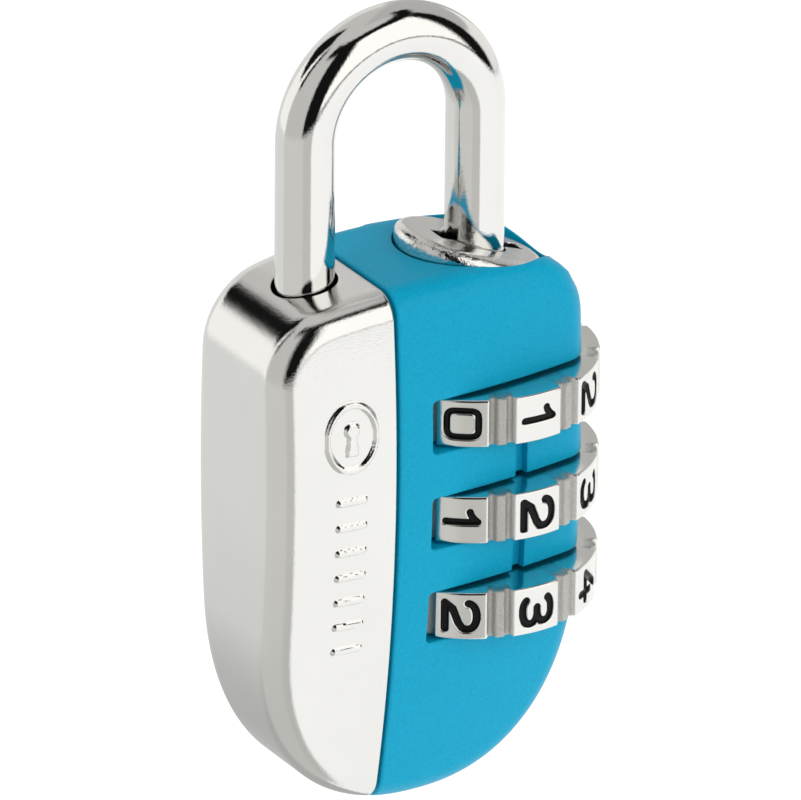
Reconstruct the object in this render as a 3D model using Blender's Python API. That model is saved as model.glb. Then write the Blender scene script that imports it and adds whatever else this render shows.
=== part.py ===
"""A small three-dial combination padlock: two-part case, steel shackle, dials on clutch hubs.

Frame: metres, +Z up towards the bow, -Y is the front, X runs from the chrome half (-X) to the
painted half (+X). The origin is the inside top of the shackle's bow, where the lock hangs.
Everything is shown locked, with the code set, so the fins stand in line with the hubs' slots.
"""

from math import acos, ceil, cos, pi, radians, sin, tan

import bmesh
import bpy
from mathutils import Matrix, Vector

MM = 0.001

# ---- driving dimensions, in millimetres -----------------------------------------------------

# Shackle
WIRE_D = 4.0                # diameter of the shackle's wire
LEG_SPACING = 13.1          # leg centre to leg centre
BOW_CLEARANCE = 14.0        # inside top of the bow to the crown of the case
SHORT_LEG_DEPTH = 5.6       # how far the short leg reaches into the case
LEG_TIP_CHAMFER = 0.5
FIN_REACH = 2.8             # axis of the long leg to the tip of a fin
FIN_W = 1.3
FIN_H = 2.2

# Case
CASE_W = 24.4
CASE_H = 38.3
CASE_T = 13.3               # thickest place, front crown to back crown
CASE_OFFSET = 0.25          # centre of the case from the middle between the legs
CROWN_DROP = 1.44           # how far the top has fallen at the full half width
SHOULDER_R_CHROME = 5.1     # outline radius of the chrome half's shoulder
SHOULDER_R_PAINTED = 4.4
STRAIGHT_SIDE = 23.6        # crown down to where the round bottom starts
BOTTOM_POWER = 2.3          # superellipse power of the round bottom
FACE_CROWN_LONG = 1.32      # how much thinner a face is one FACE_CROWN_SPAN above or below its belly
FACE_CROWN_SPAN = 18.0
FACE_CROWN_WIDE = 1.25      # how much thinner a face is at its side
FACE_BELLY = 13.1           # crown down to the thickest place
RIM_R = 1.63                # rounding between the faces and the sides
SEAM_X = -3.1               # the joint between the two halves
SEAM_GAP = 0.2

# Dials
DIAL_COUNT = 3
DIGITS = 10
DIAL_R = 8.58               # to the corners between a digit facet and a grip
DIAL_T = 3.42
DIAL_PITCH = 7.05
DIAL_DROP = 8.3             # crown of the case to the first dial
FACET_HALF_ANGLE = 12.0     # half of a digit facet, in degrees
GRIP_DEPTH = 0.5            # the grips between the facets lie this much lower
GRIP_RIB = 0.16             # height of the rib along the middle of a grip
DIAL_CHAMFER = 0.16
DIAL_SIDE_GAP = 0.2         # dial to the slot, above and below
DIAL_RADIAL_GAP = 0.2
WINDOW_HALF_W = 7.05        # axis of the dials to the left end of their windows

# Clutch hubs
HUB_R = 3.7
HUB_END_GAP = 0.1
HUB_WEB = 2.4               # thickness of the web that blocks a fin
HUB_GROOVE_DEPTH = 0.4
HUB_GROOVE_W = 1.1
HUB_GROOVE_L = 2.0
KEY_W = 0.8                 # the two keys inside a dial
KEY_H = 1.2
KEY_DROP = 0.3

# Detents
DETENT_INSET = 2.28         # from a dial's corners in to its detents
BALL_D = 1.2
DIMPLE_DEPTH = 0.35
DETENT_FLOOR = 0.53         # web left under a detent's bore
DETENT_WIRE = 0.24
DETENT_TURNS = 3.5

# Parts under the hubs
WASHER_T = 0.5
WASHER_BORE_R = 2.6
SPRING_R = 3.0              # mean radius of the hub spring
SPRING_WIRE = 0.4
SPRING_L = 2.35
SPRING_TURNS = 3.0
CLIP_R = 2.45
CLIP_T = 0.6
CLIP_GROOVE_R = 1.4
CLIP_MOUTH = 2.2
LEG_TAIL = 0.8              # wire below the clip

# Bushing round the long leg
BUSHING_L = 10.5
BUSHING_W = 9.2
BUSHING_OFFSET = -0.33      # centre of the oval from the leg's axis
BUSHING_DROP = 0.44         # its top, at the leg, below the crown of the case
BUSHING_TILT = 20.3         # degrees, low on the painted side
BUSHING_BEVEL = 0.45
RESET_KEYWAY_REACH = 3.5
RESET_KEYWAY_W = 1.2

# What joins the halves
TONGUE_W = 4.8
TONGUE_H = 4.85
TONGUE_REACH = 5.6
SCREW_HEAD_R = 1.5
SCREW_HEAD_H = 1.0
SCREW_SHANK_R = 0.8
SCREW_SOCKET = 1.5          # across the flats
SCREW_LEDGE = 1.3           # chrome half's wall under the screw's head
DOWEL_R = 0.8
DOWEL_L = 4.6

# Details of the case
INDEX_GROOVE_W = 0.9
INDEX_GROOVE_DEPTH = 0.6
PANEL_W = 5.4               # flat panel in the back of the chrome half
PANEL_H = 13.0
PANEL_DEPTH = 0.35
CORE_POCKET = (5.4, 6.8, 5.9)   # cored hollow of the chrome half: depth, width, height

# Clearances
RUNNING = 0.1               # between a shaft and its bore, all round
SLIDING = 0.15              # between faces that pass each other
LEG_HOLE_GAP = 0.22         # short leg in its hole
SEAT_GAP = 0.12             # bushing in its seat

# Fineness of the facets
ROUND = 40
BEYOND = 4.0                # how far a cutter runs past what it cuts

# ---- places worked out from them ------------------------------------------------------------

WIRE_R = WIRE_D / 2
LEG_X = LEG_SPACING / 2
ARCH_Z = WIRE_R - LEG_X              # centre of the bow
CROWN_Z = -BOW_CLEARANCE
CASE_BOTTOM = CROWN_Z - CASE_H
BELLY_Z = CROWN_Z - FACE_BELLY
SIDE_END_Z = CROWN_Z - STRAIGHT_SIDE
HALF_W = CASE_W / 2
DIAL_STEP = 2 * pi / DIGITS
FIN_SLOT_W = FIN_W + 2 * SLIDING
FIN_ROOM_R = FIN_REACH + SLIDING
HUB_L = DIAL_PITCH - 2 * HUB_END_GAP
HUB_BORE_R = WIRE_R + RUNNING
CASE_BORE_R = HUB_R + RUNNING
SLOT_H = DIAL_T + 2 * DIAL_SIDE_GAP
WEB_T = DIAL_PITCH - SLOT_H
DETENT_R = DIAL_R - DETENT_INSET     # from the dial's axis
DETENT_BORE_DEPTH = WEB_T - DETENT_FLOOR
FIN_DROP = (HUB_END_GAP + HUB_WEB + HUB_L + HUB_END_GAP) / 2   # dial top to the fin's middle
LIFT = DIAL_PITCH                    # a fin goes up from its own hub into the one above


def dial_top(i):
    """Height of the top face of dial i, counted from the bow down."""
    return CROWN_Z - DIAL_DROP - i * DIAL_PITCH


STACK_END = dial_top(DIAL_COUNT)
WASHER_TOP = STACK_END - SLIDING
SPRING_TOP = WASHER_TOP - WASHER_T - RUNNING
SPRING_POCKET_END = SPRING_TOP - SPRING_L - RUNNING
CLIP_TOP = dial_top(DIAL_COUNT - 1) - HUB_END_GAP - HUB_WEB - LIFT - RUNNING
CLIP_GROOVE_TOP = CLIP_TOP + RUNNING
CLIP_GROOVE_END = CLIP_TOP - CLIP_T - RUNNING
LONG_LEG_END = CLIP_GROOVE_END - LEG_TAIL
BUSHING_BOTTOM = dial_top(0) + SLIDING
KEYHOLE_BOTTOM = dial_top(0) - FIN_DROP + FIN_H / 2 + LIFT + SLIDING
SHORT_LEG_END = CROWN_Z - CROWN_DROP * ((LEG_X + CASE_OFFSET) / HALF_W) ** 2 - SHORT_LEG_DEPTH
SCREW_HEAD_TOP = SHORT_LEG_END - 0.6
SCREW_HEAD_END = SCREW_HEAD_TOP - SCREW_HEAD_H
LEDGE_TOP = SCREW_HEAD_END - RUNNING
TONGUE_TOP = LEDGE_TOP - SCREW_LEDGE - SLIDING
TONGUE_END = TONGUE_TOP - TONGUE_H
SCREW_END = TONGUE_END + 0.6
DOWEL_Z = (dial_top(1) - DIAL_T - DIAL_SIDE_GAP - WEB_T / 2, STACK_END - 0.4)
CORE_POCKET_TOP = DOWEL_Z[0] - DOWEL_R - 1.2
DETENT_PLACE = (LEG_X - DETENT_R, 0)
PANEL_Z = (TONGUE_TOP + DOWEL_Z[1]) / 2


# ---- materials ------------------------------------------------------------------------------

def finish(name, colour, roughness, metallic):
    """One Principled material."""
    material = bpy.data.materials.new(name)
    material.use_nodes = True
    shader = material.node_tree.nodes["Principled BSDF"]
    shader.inputs["Base Color"].default_value = (*colour, 1)
    shader.inputs["Roughness"].default_value = roughness
    shader.inputs["Metallic"].default_value = metallic
    return material


# ---- shapes ---------------------------------------------------------------------------------

def clear_scene():
    for thing in list(bpy.data.objects):
        bpy.data.objects.remove(thing, do_unlink=True)


def object_of(name, bm, place=(0, 0, 0)):
    """An object from a bmesh in millimetres, with its origin at place."""
    bmesh.ops.recalc_face_normals(bm, faces=bm.faces)
    bmesh.ops.scale(bm, vec=(MM, MM, MM), verts=bm.verts)
    mesh = bpy.data.meshes.new(name)
    bm.to_mesh(mesh)
    bm.free()
    thing = bpy.data.objects.new(name, mesh)
    thing.location = Vector(place) * MM
    bpy.context.scene.collection.objects.link(thing)
    return thing


def loft(name, rings, place=(0, 0, 0), round_closed=False):
    """A skin over rings of points; a ring of one point is a pole, and open ends are capped."""
    bm = bmesh.new()
    loops = [[bm.verts.new(point) for point in ring] for ring in rings]
    pairs = list(zip(loops, loops[1:]))
    if round_closed:
        pairs.append((loops[-1], loops[0]))
    for low, high in pairs:
        count = max(len(low), len(high))
        for i in range(count):
            j = (i + 1) % count
            if len(low) == 1:
                bm.faces.new((low[0], high[j], high[i]))
            elif len(high) == 1:
                bm.faces.new((low[i], low[j], high[0]))
            else:
                bm.faces.new((low[i], low[j], high[j], high[i]))
    if not round_closed:
        for end in (loops[0], loops[-1]):
            if len(end) > 2:
                bm.faces.new(end)
    return object_of(name, bm, place)


def circle(radius, z, centre=(0, 0), count=ROUND):
    turn = 2 * pi / count
    return [(centre[0] + radius * cos(i * turn), centre[1] + radius * sin(i * turn), z)
            for i in range(count)]


def turned(name, profile, place=(0, 0, 0), count=ROUND, hollow=False):
    """A lathe shape: profile holds (radius, height) pairs, and runs right round if hollow."""
    rings = [circle(r, z, count=count) if r else [(0, 0, z)] for r, z in profile]
    return loft(name, rings, place, round_closed=hollow)


def prism(name, outline, low, high, place=(0, 0, 0)):
    """An outline in X and Y, carried up from low to high."""
    return loft(name, [[(x, y, z) for x, y in outline] for z in (low, high)], place)


def block(name, low, high, place=(0, 0, 0)):
    corners = [(low[0], low[1]), (high[0], low[1]), (high[0], high[1]), (low[0], high[1])]
    return prism(name, corners, low[2], high[2], place)


def rod_along_x(name, radius, start, end, z, count=16):
    """A round bar, or its hole, along X at Y = 0."""
    turn = 2 * pi / count
    ring = [(radius * cos(i * turn), radius * sin(i * turn)) for i in range(count)]
    return loft(name, [[(x, y, z + up) for y, up in ring] for x in (start, end)])


def oval(length, width, count=ROUND):
    turn = 2 * pi / count
    return [(length / 2 * cos(i * turn), width / 2 * sin(i * turn)) for i in range(count)]


def swept(name, path, radii, sides, place=(0, 0, 0)):
    """A round section carried along a path, turning no more than the path does."""
    points = [Vector(point) for point in path]
    ahead = [(b - a).normalized() for a, b in zip(points, points[1:])]
    along = [ahead[0]] + [(a + b).normalized() for a, b in zip(ahead, ahead[1:])] + [ahead[-1]]
    side = along[0].orthogonal().normalized()
    rings = []
    for k, (point, forward, radius) in enumerate(zip(points, along, radii)):
        if k:
            side = along[k - 1].rotation_difference(forward) @ side
        across = forward.cross(side)
        rings.append([point + radius * (cos(t) * side + sin(t) * across)
                      for t in (2 * pi * i / sides for i in range(sides))])
    return loft(name, rings, place)


def coil(name, radius, wire, turns, length, place, sides, steps):
    """A compression spring standing on its place."""
    count = ceil(turns * steps)
    rise = length - wire
    path = [(radius * cos(2 * pi * i / steps), radius * sin(2 * pi * i / steps),
             wire / 2 + rise * i / count) for i in range(count + 1)]
    return swept(name, path, [wire / 2] * len(path), sides, place)


def helper(thing):
    thing.hide_render = True
    thing.display_type = "WIRE"
    return thing


def boolean(target, other, operation):
    modifier = target.modifiers.new(other.name, "BOOLEAN")
    modifier.operation = operation
    modifier.object = helper(other)


def cut(target, *cutters):
    for cutter in cutters:
        boolean(target, cutter, "DIFFERENCE")


def join(target, *pieces):
    for piece in pieces:
        boolean(target, piece, "UNION")


def settled(thing):
    """The mesh of a piece with its Booleans done, and the piece and its cutters put away."""
    bpy.context.view_layer.update()
    graph = bpy.context.evaluated_depsgraph_get()
    mesh = bpy.data.meshes.new_from_object(thing.evaluated_get(graph))
    for other in [modifier.object for modifier in thing.modifiers] + [thing]:
        bpy.data.objects.remove(other, do_unlink=True)
    return mesh


def placed(name, mesh, place, parent=None):
    thing = bpy.data.objects.new(name, mesh)
    thing.location = Vector(place) * MM
    bpy.context.scene.collection.objects.link(thing)
    if parent:
        thing.parent = parent
        thing.matrix_parent_inverse = parent.matrix_world.inverted()
    return thing


def finished(thing, material, angle=32):
    """Gives a piece its material, and shades it smooth up to an angle in degrees."""
    if thing.data.materials:
        thing.data.materials[0] = material
    else:
        thing.data.materials.append(material)
    thing.data.shade_smooth()
    thing.data.set_sharp_from_angle(angle=radians(angle))
    return thing


# ---- the case -------------------------------------------------------------------------------

def arc(centre, radius, start, end, count):
    """Points of an arc in X and Z, angles in degrees."""
    steps = [radians(start + (end - start) * i / count) for i in range(count + 1)]
    return [(centre[0] + radius * cos(t), centre[1] + radius * sin(t)) for t in steps]


def top_line(x):
    """Height of the gently falling top above an X place."""
    return CROWN_Z - CROWN_DROP * ((x - CASE_OFFSET) / HALF_W) ** 2


def case_outline():
    """The front view of the case, anticlockwise from its painted side."""
    right, left = CASE_OFFSET + HALF_W, CASE_OFFSET - HALF_W
    right_x, left_x = right - SHOULDER_R_PAINTED, left + SHOULDER_R_CHROME
    shoulder_right = (right_x, top_line(right_x) - SHOULDER_R_PAINTED)
    shoulder_left = (left_x, top_line(left_x) - SHOULDER_R_CHROME)
    points = arc(shoulder_right, SHOULDER_R_PAINTED, 0, 90, 10)
    top_steps = 10
    for i in range(1, top_steps):
        x = shoulder_right[0] + (shoulder_left[0] - shoulder_right[0]) * i / top_steps
        points.append((x, top_line(x)))
    points += arc(shoulder_left, SHOULDER_R_CHROME, 90, 180, 12)
    side_steps = 6
    points += [(left, shoulder_left[1] + (SIDE_END_Z - shoulder_left[1]) * i / side_steps)
               for i in range(1, side_steps)]
    bottom_steps = 36
    for i in range(bottom_steps + 1):
        t = pi * i / bottom_steps
        c, s = cos(t), sin(t)
        x = CASE_OFFSET - HALF_W * (1 if c > 0 else -1) * abs(c) ** (2 / BOTTOM_POWER)
        points.append((x, SIDE_END_Z + (CASE_BOTTOM - SIDE_END_Z) * s ** (2 / BOTTOM_POWER)))
    points += [(right, SIDE_END_Z + (shoulder_right[1] - SIDE_END_Z) * i / side_steps)
               for i in range(1, side_steps)]
    return points


def face_y(x, z):
    """Half thickness of the crowned case at a place well inside its rim."""
    along = (z - BELLY_Z) / FACE_CROWN_SPAN
    across = (x - CASE_OFFSET) / HALF_W
    return CASE_T / 2 - FACE_CROWN_LONG * along ** 2 - FACE_CROWN_WIDE * across ** 2


def inward(outline):
    """The inward unit normal at each point of an anticlockwise outline."""
    found = []
    for i, (x, z) in enumerate(outline):
        ahead, behind = outline[(i + 1) % len(outline)], outline[i - 1]
        along = Vector((ahead[0] - behind[0], ahead[1] - behind[1])).normalized()
        found.append((-along.y, along.x))
    return found


def pebble(name):
    """The whole case as one solid: rounded rims, and faces crowned both ways."""
    outline = case_outline()
    normals = inward(outline)
    rim_steps, face_steps = 4, 4
    middle = (CASE_OFFSET, (CROWN_Z + CASE_BOTTOM) / 2)
    edge = [(x + nx * RIM_R, z + nz * RIM_R) for (x, z), (nx, nz) in zip(outline, normals)]
    half = []
    for k in range(rim_steps + 1):
        t = pi / 2 * k / rim_steps
        half.append([(x + nx * RIM_R * (1 - cos(t)),
                      face_y(*inner) - RIM_R + RIM_R * sin(t),
                      z + nz * RIM_R * (1 - cos(t)))
                     for (x, z), (nx, nz), inner in zip(outline, normals, edge)])
    for k in range(1, face_steps):
        share = 1 - k / face_steps
        ring = [(middle[0] + (x - middle[0]) * share, middle[1] + (z - middle[1]) * share)
                for x, z in edge]
        half.append([(x, face_y(x, z), z) for x, z in ring])
    half.append([(middle[0], face_y(*middle), middle[1])])
    front = [[(x, -y, z) for x, y, z in ring] for ring in half]
    return loft(name, front[::-1] + half)


def leg_cylinder(name, radius, low, high):
    return turned(name, [(0, low), (radius, low), (radius, high), (0, high)], (LEG_X, 0, 0))


def slot_outline():
    """Plan of a dial's slot: a window open to the right, with a round pocket at its left."""
    room = DIAL_R + DIAL_RADIAL_GAP
    half = acos(WINDOW_HALF_W / room)
    steps = 14
    pocket = [(room * cos(pi + t), room * sin(pi + t))
              for t in (half - 2 * half * i / steps for i in range(steps + 1))]
    left = -WINDOW_HALF_W
    return [(CASE_W, -CASE_T), (left, -CASE_T), *pocket, (left, CASE_T), (CASE_W, CASE_T)]


def dial_slots():
    cutters = []
    for i in range(DIAL_COUNT):
        high = dial_top(i) + DIAL_SIDE_GAP
        cutters.append(prism(f"cut_dial_slot_{i}", slot_outline(), high - SLOT_H, high,
                             (LEG_X, 0, 0)))
    return cutters


def index_grooves():
    """The upright marks on the webs between the dials, front and back."""
    cutters = []
    for i in range(DIAL_COUNT - 1):
        high = dial_top(i) - DIAL_T - DIAL_SIDE_GAP / 2
        low = dial_top(i + 1) + DIAL_SIDE_GAP / 2
        for side in (-1, 1):
            depth = face_y(LEG_X, (low + high) / 2) - INDEX_GROOVE_DEPTH
            ends = sorted((side * depth, side * CASE_T))
            cutters.append(block(f"cut_index_{i}_{'back' if side > 0 else 'front'}",
                                 (LEG_X - INDEX_GROOVE_W / 2, ends[0], low),
                                 (LEG_X + INDEX_GROOVE_W / 2, ends[1], high)))
    return cutters


def detent_bores():
    """The blind bores for the balls and springs, in the floor of each slot."""
    bores = []
    for i in range(DIAL_COUNT):
        floor = dial_top(i) - DIAL_T - DIAL_SIDE_GAP
        radius = BALL_D / 2 + RUNNING
        profile = [(0, floor - DETENT_BORE_DEPTH), (radius, floor - DETENT_BORE_DEPTH),
                   (radius, floor + DIAL_T / 2), (0, floor + DIAL_T / 2)]
        bores.append(turned(f"cut_detent_{i}", profile, (*DETENT_PLACE, 0), count=16))
    return bores


def dowel_holes(prefix):
    half = DOWEL_L / 2 + SLIDING
    return [rod_along_x(f"{prefix}_{k}", DOWEL_R + RUNNING, SEAM_X - half, SEAM_X + half, z)
            for k, z in enumerate(DOWEL_Z)]


def tongue_block(name, gap, far_end):
    """The painted half's tongue under the short leg, or with a gap the pocket that takes it."""
    return block(name, (SEAM_X - TONGUE_REACH - gap, -TONGUE_W / 2 - gap, TONGUE_END - gap),
                 (far_end, TONGUE_W / 2 + gap, TONGUE_TOP + gap))


def leg_bore():
    """The stepped bore of the long leg: hubs and washer, then the spring, then the clip and the tip."""
    clip_r, spring_r = CLIP_R + SLIDING, SPRING_R + SPRING_WIRE / 2 + SLIDING
    tip, shelf = LONG_LEG_END - SLIDING, WASHER_TOP - WASHER_T - RUNNING / 2
    profile = [(0, tip), (clip_r, tip),
               (clip_r, SPRING_POCKET_END), (spring_r, SPRING_POCKET_END),
               (spring_r, shelf), (CASE_BORE_R, shelf),
               (CASE_BORE_R, CROWN_Z + BEYOND), (0, CROWN_Z + BEYOND)]
    return turned("cut_leg_bore", profile, (LEG_X, 0, 0))


def screw_hole(name, radius):
    return turned(name, [(0, TONGUE_END - BEYOND), (radius, TONGUE_END - BEYOND),
                         (radius, LEDGE_TOP + BEYOND), (0, LEDGE_TOP + BEYOND)],
                  (-LEG_X, 0, 0), count=16)


def side_cutter(name, low_x, high_x):
    return block(name, (low_x, -CASE_T, CASE_BOTTOM - BEYOND), (high_x, CASE_T, CROWN_Z + BEYOND))


def chrome_half():
    """The chromed half: hole for the short leg, ledge for the screw, pocket for the tongue."""
    case = pebble("chrome_case_half")
    seam = SEAM_X - SEAM_GAP / 2
    cut(case, side_cutter("cut_chrome_seam", seam, CASE_W))
    hole_r = WIRE_R + LEG_HOLE_GAP
    cut(case, turned("cut_short_leg_hole",
                     [(0, LEDGE_TOP), (hole_r, LEDGE_TOP),
                      (hole_r, CROWN_Z + BEYOND), (0, CROWN_Z + BEYOND)], (-LEG_X, 0, 0), count=28))
    cut(case, tongue_block("cut_tongue_pocket", SLIDING, SEAM_X + BEYOND))
    cut(case, screw_hole("cut_screw_chrome", SCREW_SHANK_R + SLIDING))
    cut(case, *dowel_holes("cut_dowel_chrome"))
    depth, width, height = CORE_POCKET
    cut(case, block("cut_core_pocket", (SEAM_X - depth, -width / 2, CORE_POCKET_TOP - height),
                    (SEAM_X + BEYOND, width / 2, CORE_POCKET_TOP)))
    panel_x = (CASE_OFFSET - HALF_W + RIM_R + SEAM_X) / 2
    panel_y = face_y(panel_x - PANEL_W / 2, PANEL_Z - PANEL_H / 2) - PANEL_DEPTH / 2
    cut(case, block("cut_back_panel", (panel_x - PANEL_W / 2, panel_y, PANEL_Z - PANEL_H / 2),
                    (panel_x + PANEL_W / 2, CASE_T, PANEL_Z + PANEL_H / 2)))
    return case


def painted_half():
    """The painted half: three windows, the hub bore, the bushing's seat and the spring's pocket."""
    case = pebble("painted_case_half")
    cut(case, side_cutter("cut_painted_seam", -CASE_W, SEAM_X + SEAM_GAP / 2))
    join(case, tongue_block("add_tongue", 0, SEAM_X + SEAM_GAP + 0.4))
    cut(case, screw_hole("cut_screw_painted", SCREW_SHANK_R + RUNNING))
    cut(case, leg_bore())
    cut(case, *dial_slots())
    clip_room = CLIP_R + 2 * SLIDING
    cut(case, block("cut_clip_window", (SEAM_X - BEYOND, -clip_room, CLIP_GROOVE_END - SLIDING),
                    (LEG_X, clip_room, CLIP_GROOVE_TOP + SLIDING)))
    seat = oval(BUSHING_L + 2 * SEAT_GAP, BUSHING_W + 2 * SEAT_GAP)
    cut(case, prism("cut_bushing_seat", seat, KEYHOLE_BOTTOM - SEAT_GAP, CROWN_Z + BEYOND,
                    (LEG_X + BUSHING_OFFSET, 0, 0)))
    cut(case, *detent_bores())
    cut(case, *dowel_holes("cut_dowel_painted"))
    cut(case, *index_grooves())
    return case


# ---- the bushing ----------------------------------------------------------------------------

def keyhole_bushing():
    """Oval collar with a tilted top, a keyway for the fins, and a skirt that holds the hubs down."""
    top = CROWN_Z - BUSHING_DROP
    slope = tan(radians(BUSHING_TILT))
    shrink = 2 * BUSHING_BEVEL

    def tilted(outline, down):
        return [(x, y, top - slope * (x + BUSHING_OFFSET) - down) for x, y in outline]

    rings = [[(x, y, KEYHOLE_BOTTOM) for x, y in oval(BUSHING_L, BUSHING_W)],
             tilted(oval(BUSHING_L, BUSHING_W), BUSHING_BEVEL),
             tilted(oval(BUSHING_L - shrink, BUSHING_W - shrink), 0)]
    bushing = loft("keyhole_bushing", rings, (LEG_X + BUSHING_OFFSET, 0, 0))
    join(bushing, leg_cylinder("add_bushing_skirt", HUB_R, BUSHING_BOTTOM, KEYHOLE_BOTTOM + 1))
    low, high = BUSHING_BOTTOM - BEYOND, top + BEYOND
    cut(bushing, leg_cylinder("cut_bushing_bore", HUB_BORE_R, low, high))
    cut(bushing, leg_cylinder("cut_fin_room", FIN_ROOM_R, low, KEYHOLE_BOTTOM))
    cut(bushing, block("cut_keyway", (LEG_X - FIN_ROOM_R, -FIN_SLOT_W / 2, low),
                       (LEG_X, FIN_SLOT_W / 2, high)))
    cut(bushing, block("cut_reset_keyway", (LEG_X, -RESET_KEYWAY_W / 2, KEYHOLE_BOTTOM - 0.5),
                       (LEG_X + RESET_KEYWAY_REACH, RESET_KEYWAY_W / 2, high)))
    return bushing


# ---- the shackle ----------------------------------------------------------------------------

def shackle():
    """One bent wire, with three fins pressed out of the long leg and a groove for its clip."""
    arch_steps = 20
    arch = [(LEG_X * cos(t), 0, ARCH_Z + LEG_X * sin(t))
            for t in (pi * i / arch_steps for i in range(arch_steps + 1))]
    long_leg = [(LEG_X, 0, LONG_LEG_END), (LEG_X, 0, LONG_LEG_END + LEG_TIP_CHAMFER),
                (LEG_X, 0, CASE_BOTTOM / 2)]
    short_leg = [(-LEG_X, 0, CROWN_Z), (-LEG_X, 0, SHORT_LEG_END + LEG_TIP_CHAMFER),
                 (-LEG_X, 0, SHORT_LEG_END)]
    path = long_leg + arch + short_leg
    tip_r = WIRE_R - LEG_TIP_CHAMFER
    radii = [tip_r] + [WIRE_R] * (len(path) - 2) + [tip_r]
    wire = swept("shackle", path, radii, 24)
    for i in range(DIAL_COUNT):
        middle = dial_top(i) - FIN_DROP
        join(wire, block(f"add_fin_{i}", (LEG_X - FIN_REACH, -FIN_W / 2, middle - FIN_H / 2),
                         (LEG_X - WIRE_R / 2, FIN_W / 2, middle + FIN_H / 2)))
    groove = [(CLIP_GROOVE_R, CLIP_GROOVE_END), (WIRE_D, CLIP_GROOVE_END),
              (WIRE_D, CLIP_GROOVE_TOP), (CLIP_GROOVE_R, CLIP_GROOVE_TOP)]
    cut(wire, turned("cut_clip_groove", groove, (LEG_X, 0, 0), 28, hollow=True))
    return wire


def retaining_clip():
    """The open ring in the long leg's groove, pushed on from the seam side."""
    inner, high, low = CLIP_GROOVE_R + RUNNING, CLIP_TOP, CLIP_TOP - CLIP_T
    ring = turned("leg_retaining_clip", [(inner, low), (CLIP_R, low), (CLIP_R, high), (inner, high)],
                  (LEG_X, 0, 0), 32, hollow=True)
    cut(ring, block("cut_clip_mouth", (LEG_X, -CLIP_MOUTH / 2, low - 1),
                    (LEG_X + WIRE_D, CLIP_MOUTH / 2, high + 1)))
    return ring


# ---- dials and hubs -------------------------------------------------------------------------

def dial_outline(lower):
    """Ten flat digit facets, with a ribbed grip sunk between each two, all set in by lower."""
    half = radians(FACET_HALF_ANGLE)
    gap = DIAL_STEP - 2 * half
    corner = DIAL_R - lower
    valley = DIAL_R - GRIP_DEPTH - lower
    rib = valley + GRIP_RIB
    shape = [(-half, corner), (half, corner)]
    shape += [(half + share * gap, r) for share, r in
              ((0.1, valley), (0.32, valley), (0.5, rib), (0.68, valley), (0.9, valley))]
    start = -pi / 2
    return [(r * cos(start + k * DIAL_STEP + t), r * sin(start + k * DIAL_STEP + t))
            for k in range(DIGITS) for t, r in shape]


def radial_bars(name, width, inner, outer, low, high, count):
    """Upright bars standing radially, as one helper."""
    bm = bmesh.new()
    for k in range(count):
        turn = Matrix.Rotation(pi + 2 * pi * k / count, 4, "Z")
        made = bmesh.ops.create_cube(bm, size=1)["verts"]
        bmesh.ops.scale(bm, vec=(outer - inner, width, high - low), verts=made)
        bmesh.ops.translate(bm, vec=((outer + inner) / 2, 0, (low + high) / 2), verts=made)
        bmesh.ops.transform(bm, matrix=turn, verts=made)
    return object_of(name, bm)


def detent_dimples(name, floor):
    """Ten small cones in the underside of a dial, for its ball."""
    bm = bmesh.new()
    radius = BALL_D / 2
    for k in range(DIGITS):
        made = bmesh.ops.create_cone(bm, cap_ends=True, segments=8, radius1=radius,
                                     radius2=0.1, depth=2 * DIMPLE_DEPTH)["verts"]
        bmesh.ops.translate(bm, vec=(DETENT_R, 0, floor), verts=made)
        bmesh.ops.transform(bm, matrix=Matrix.Rotation(pi + k * DIAL_STEP, 4, "Z"), verts=made)
    return object_of(name, bm)


def dial_mesh():
    """A dial with its top at Z = 0: bore, two keys for the hub, and dimples underneath."""
    rings = [[(x, y, z) for x, y in dial_outline(lower)]
             for z, lower in ((-DIAL_T, DIAL_CHAMFER), (-DIAL_T + DIAL_CHAMFER, 0),
                              (-DIAL_CHAMFER, 0), (0, DIAL_CHAMFER))]
    dial = loft("dial", rings)
    bore = [(0, -DIAL_T - 1), (CASE_BORE_R, -DIAL_T - 1), (CASE_BORE_R, 1), (0, 1)]
    cut(dial, turned("cut_dial_bore", bore))
    key_tip = HUB_R - HUB_GROOVE_DEPTH + RUNNING
    join(dial, radial_bars("add_keys", KEY_W, key_tip, CASE_BORE_R + 0.6,
                           -KEY_DROP - KEY_H, -KEY_DROP, 2))
    cut(dial, detent_dimples("cut_dimples", -DIAL_T))
    return settled(dial)


def hub_mesh():
    """A clutch hub, top at Z = 0: a slotted web that blocks the fin, over a free chamber."""
    profile = [(HUB_R, -HUB_L), (HUB_R, 0), (HUB_BORE_R, 0), (HUB_BORE_R, -HUB_WEB),
               (FIN_ROOM_R, -HUB_WEB), (FIN_ROOM_R, -HUB_L)]
    hub = turned("hub", profile, hollow=True)
    cut(hub, block("cut_fin_slot", (-FIN_ROOM_R, -FIN_SLOT_W / 2, -HUB_WEB - 0.5),
                   (0, FIN_SLOT_W / 2, 1)))
    groove_r = HUB_R - HUB_GROOVE_DEPTH
    cut(hub, radial_bars("cut_hub_grooves", HUB_GROOVE_W, groove_r, HUB_R + 1, -HUB_GROOVE_L, 1,
                         DIGITS))
    return settled(hub)


def detent_ball(name, place):
    bm = bmesh.new()
    bmesh.ops.create_icosphere(bm, subdivisions=2, radius=BALL_D / 2)
    return object_of(name, bm, place)


# ---- small parts ----------------------------------------------------------------------------

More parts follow.
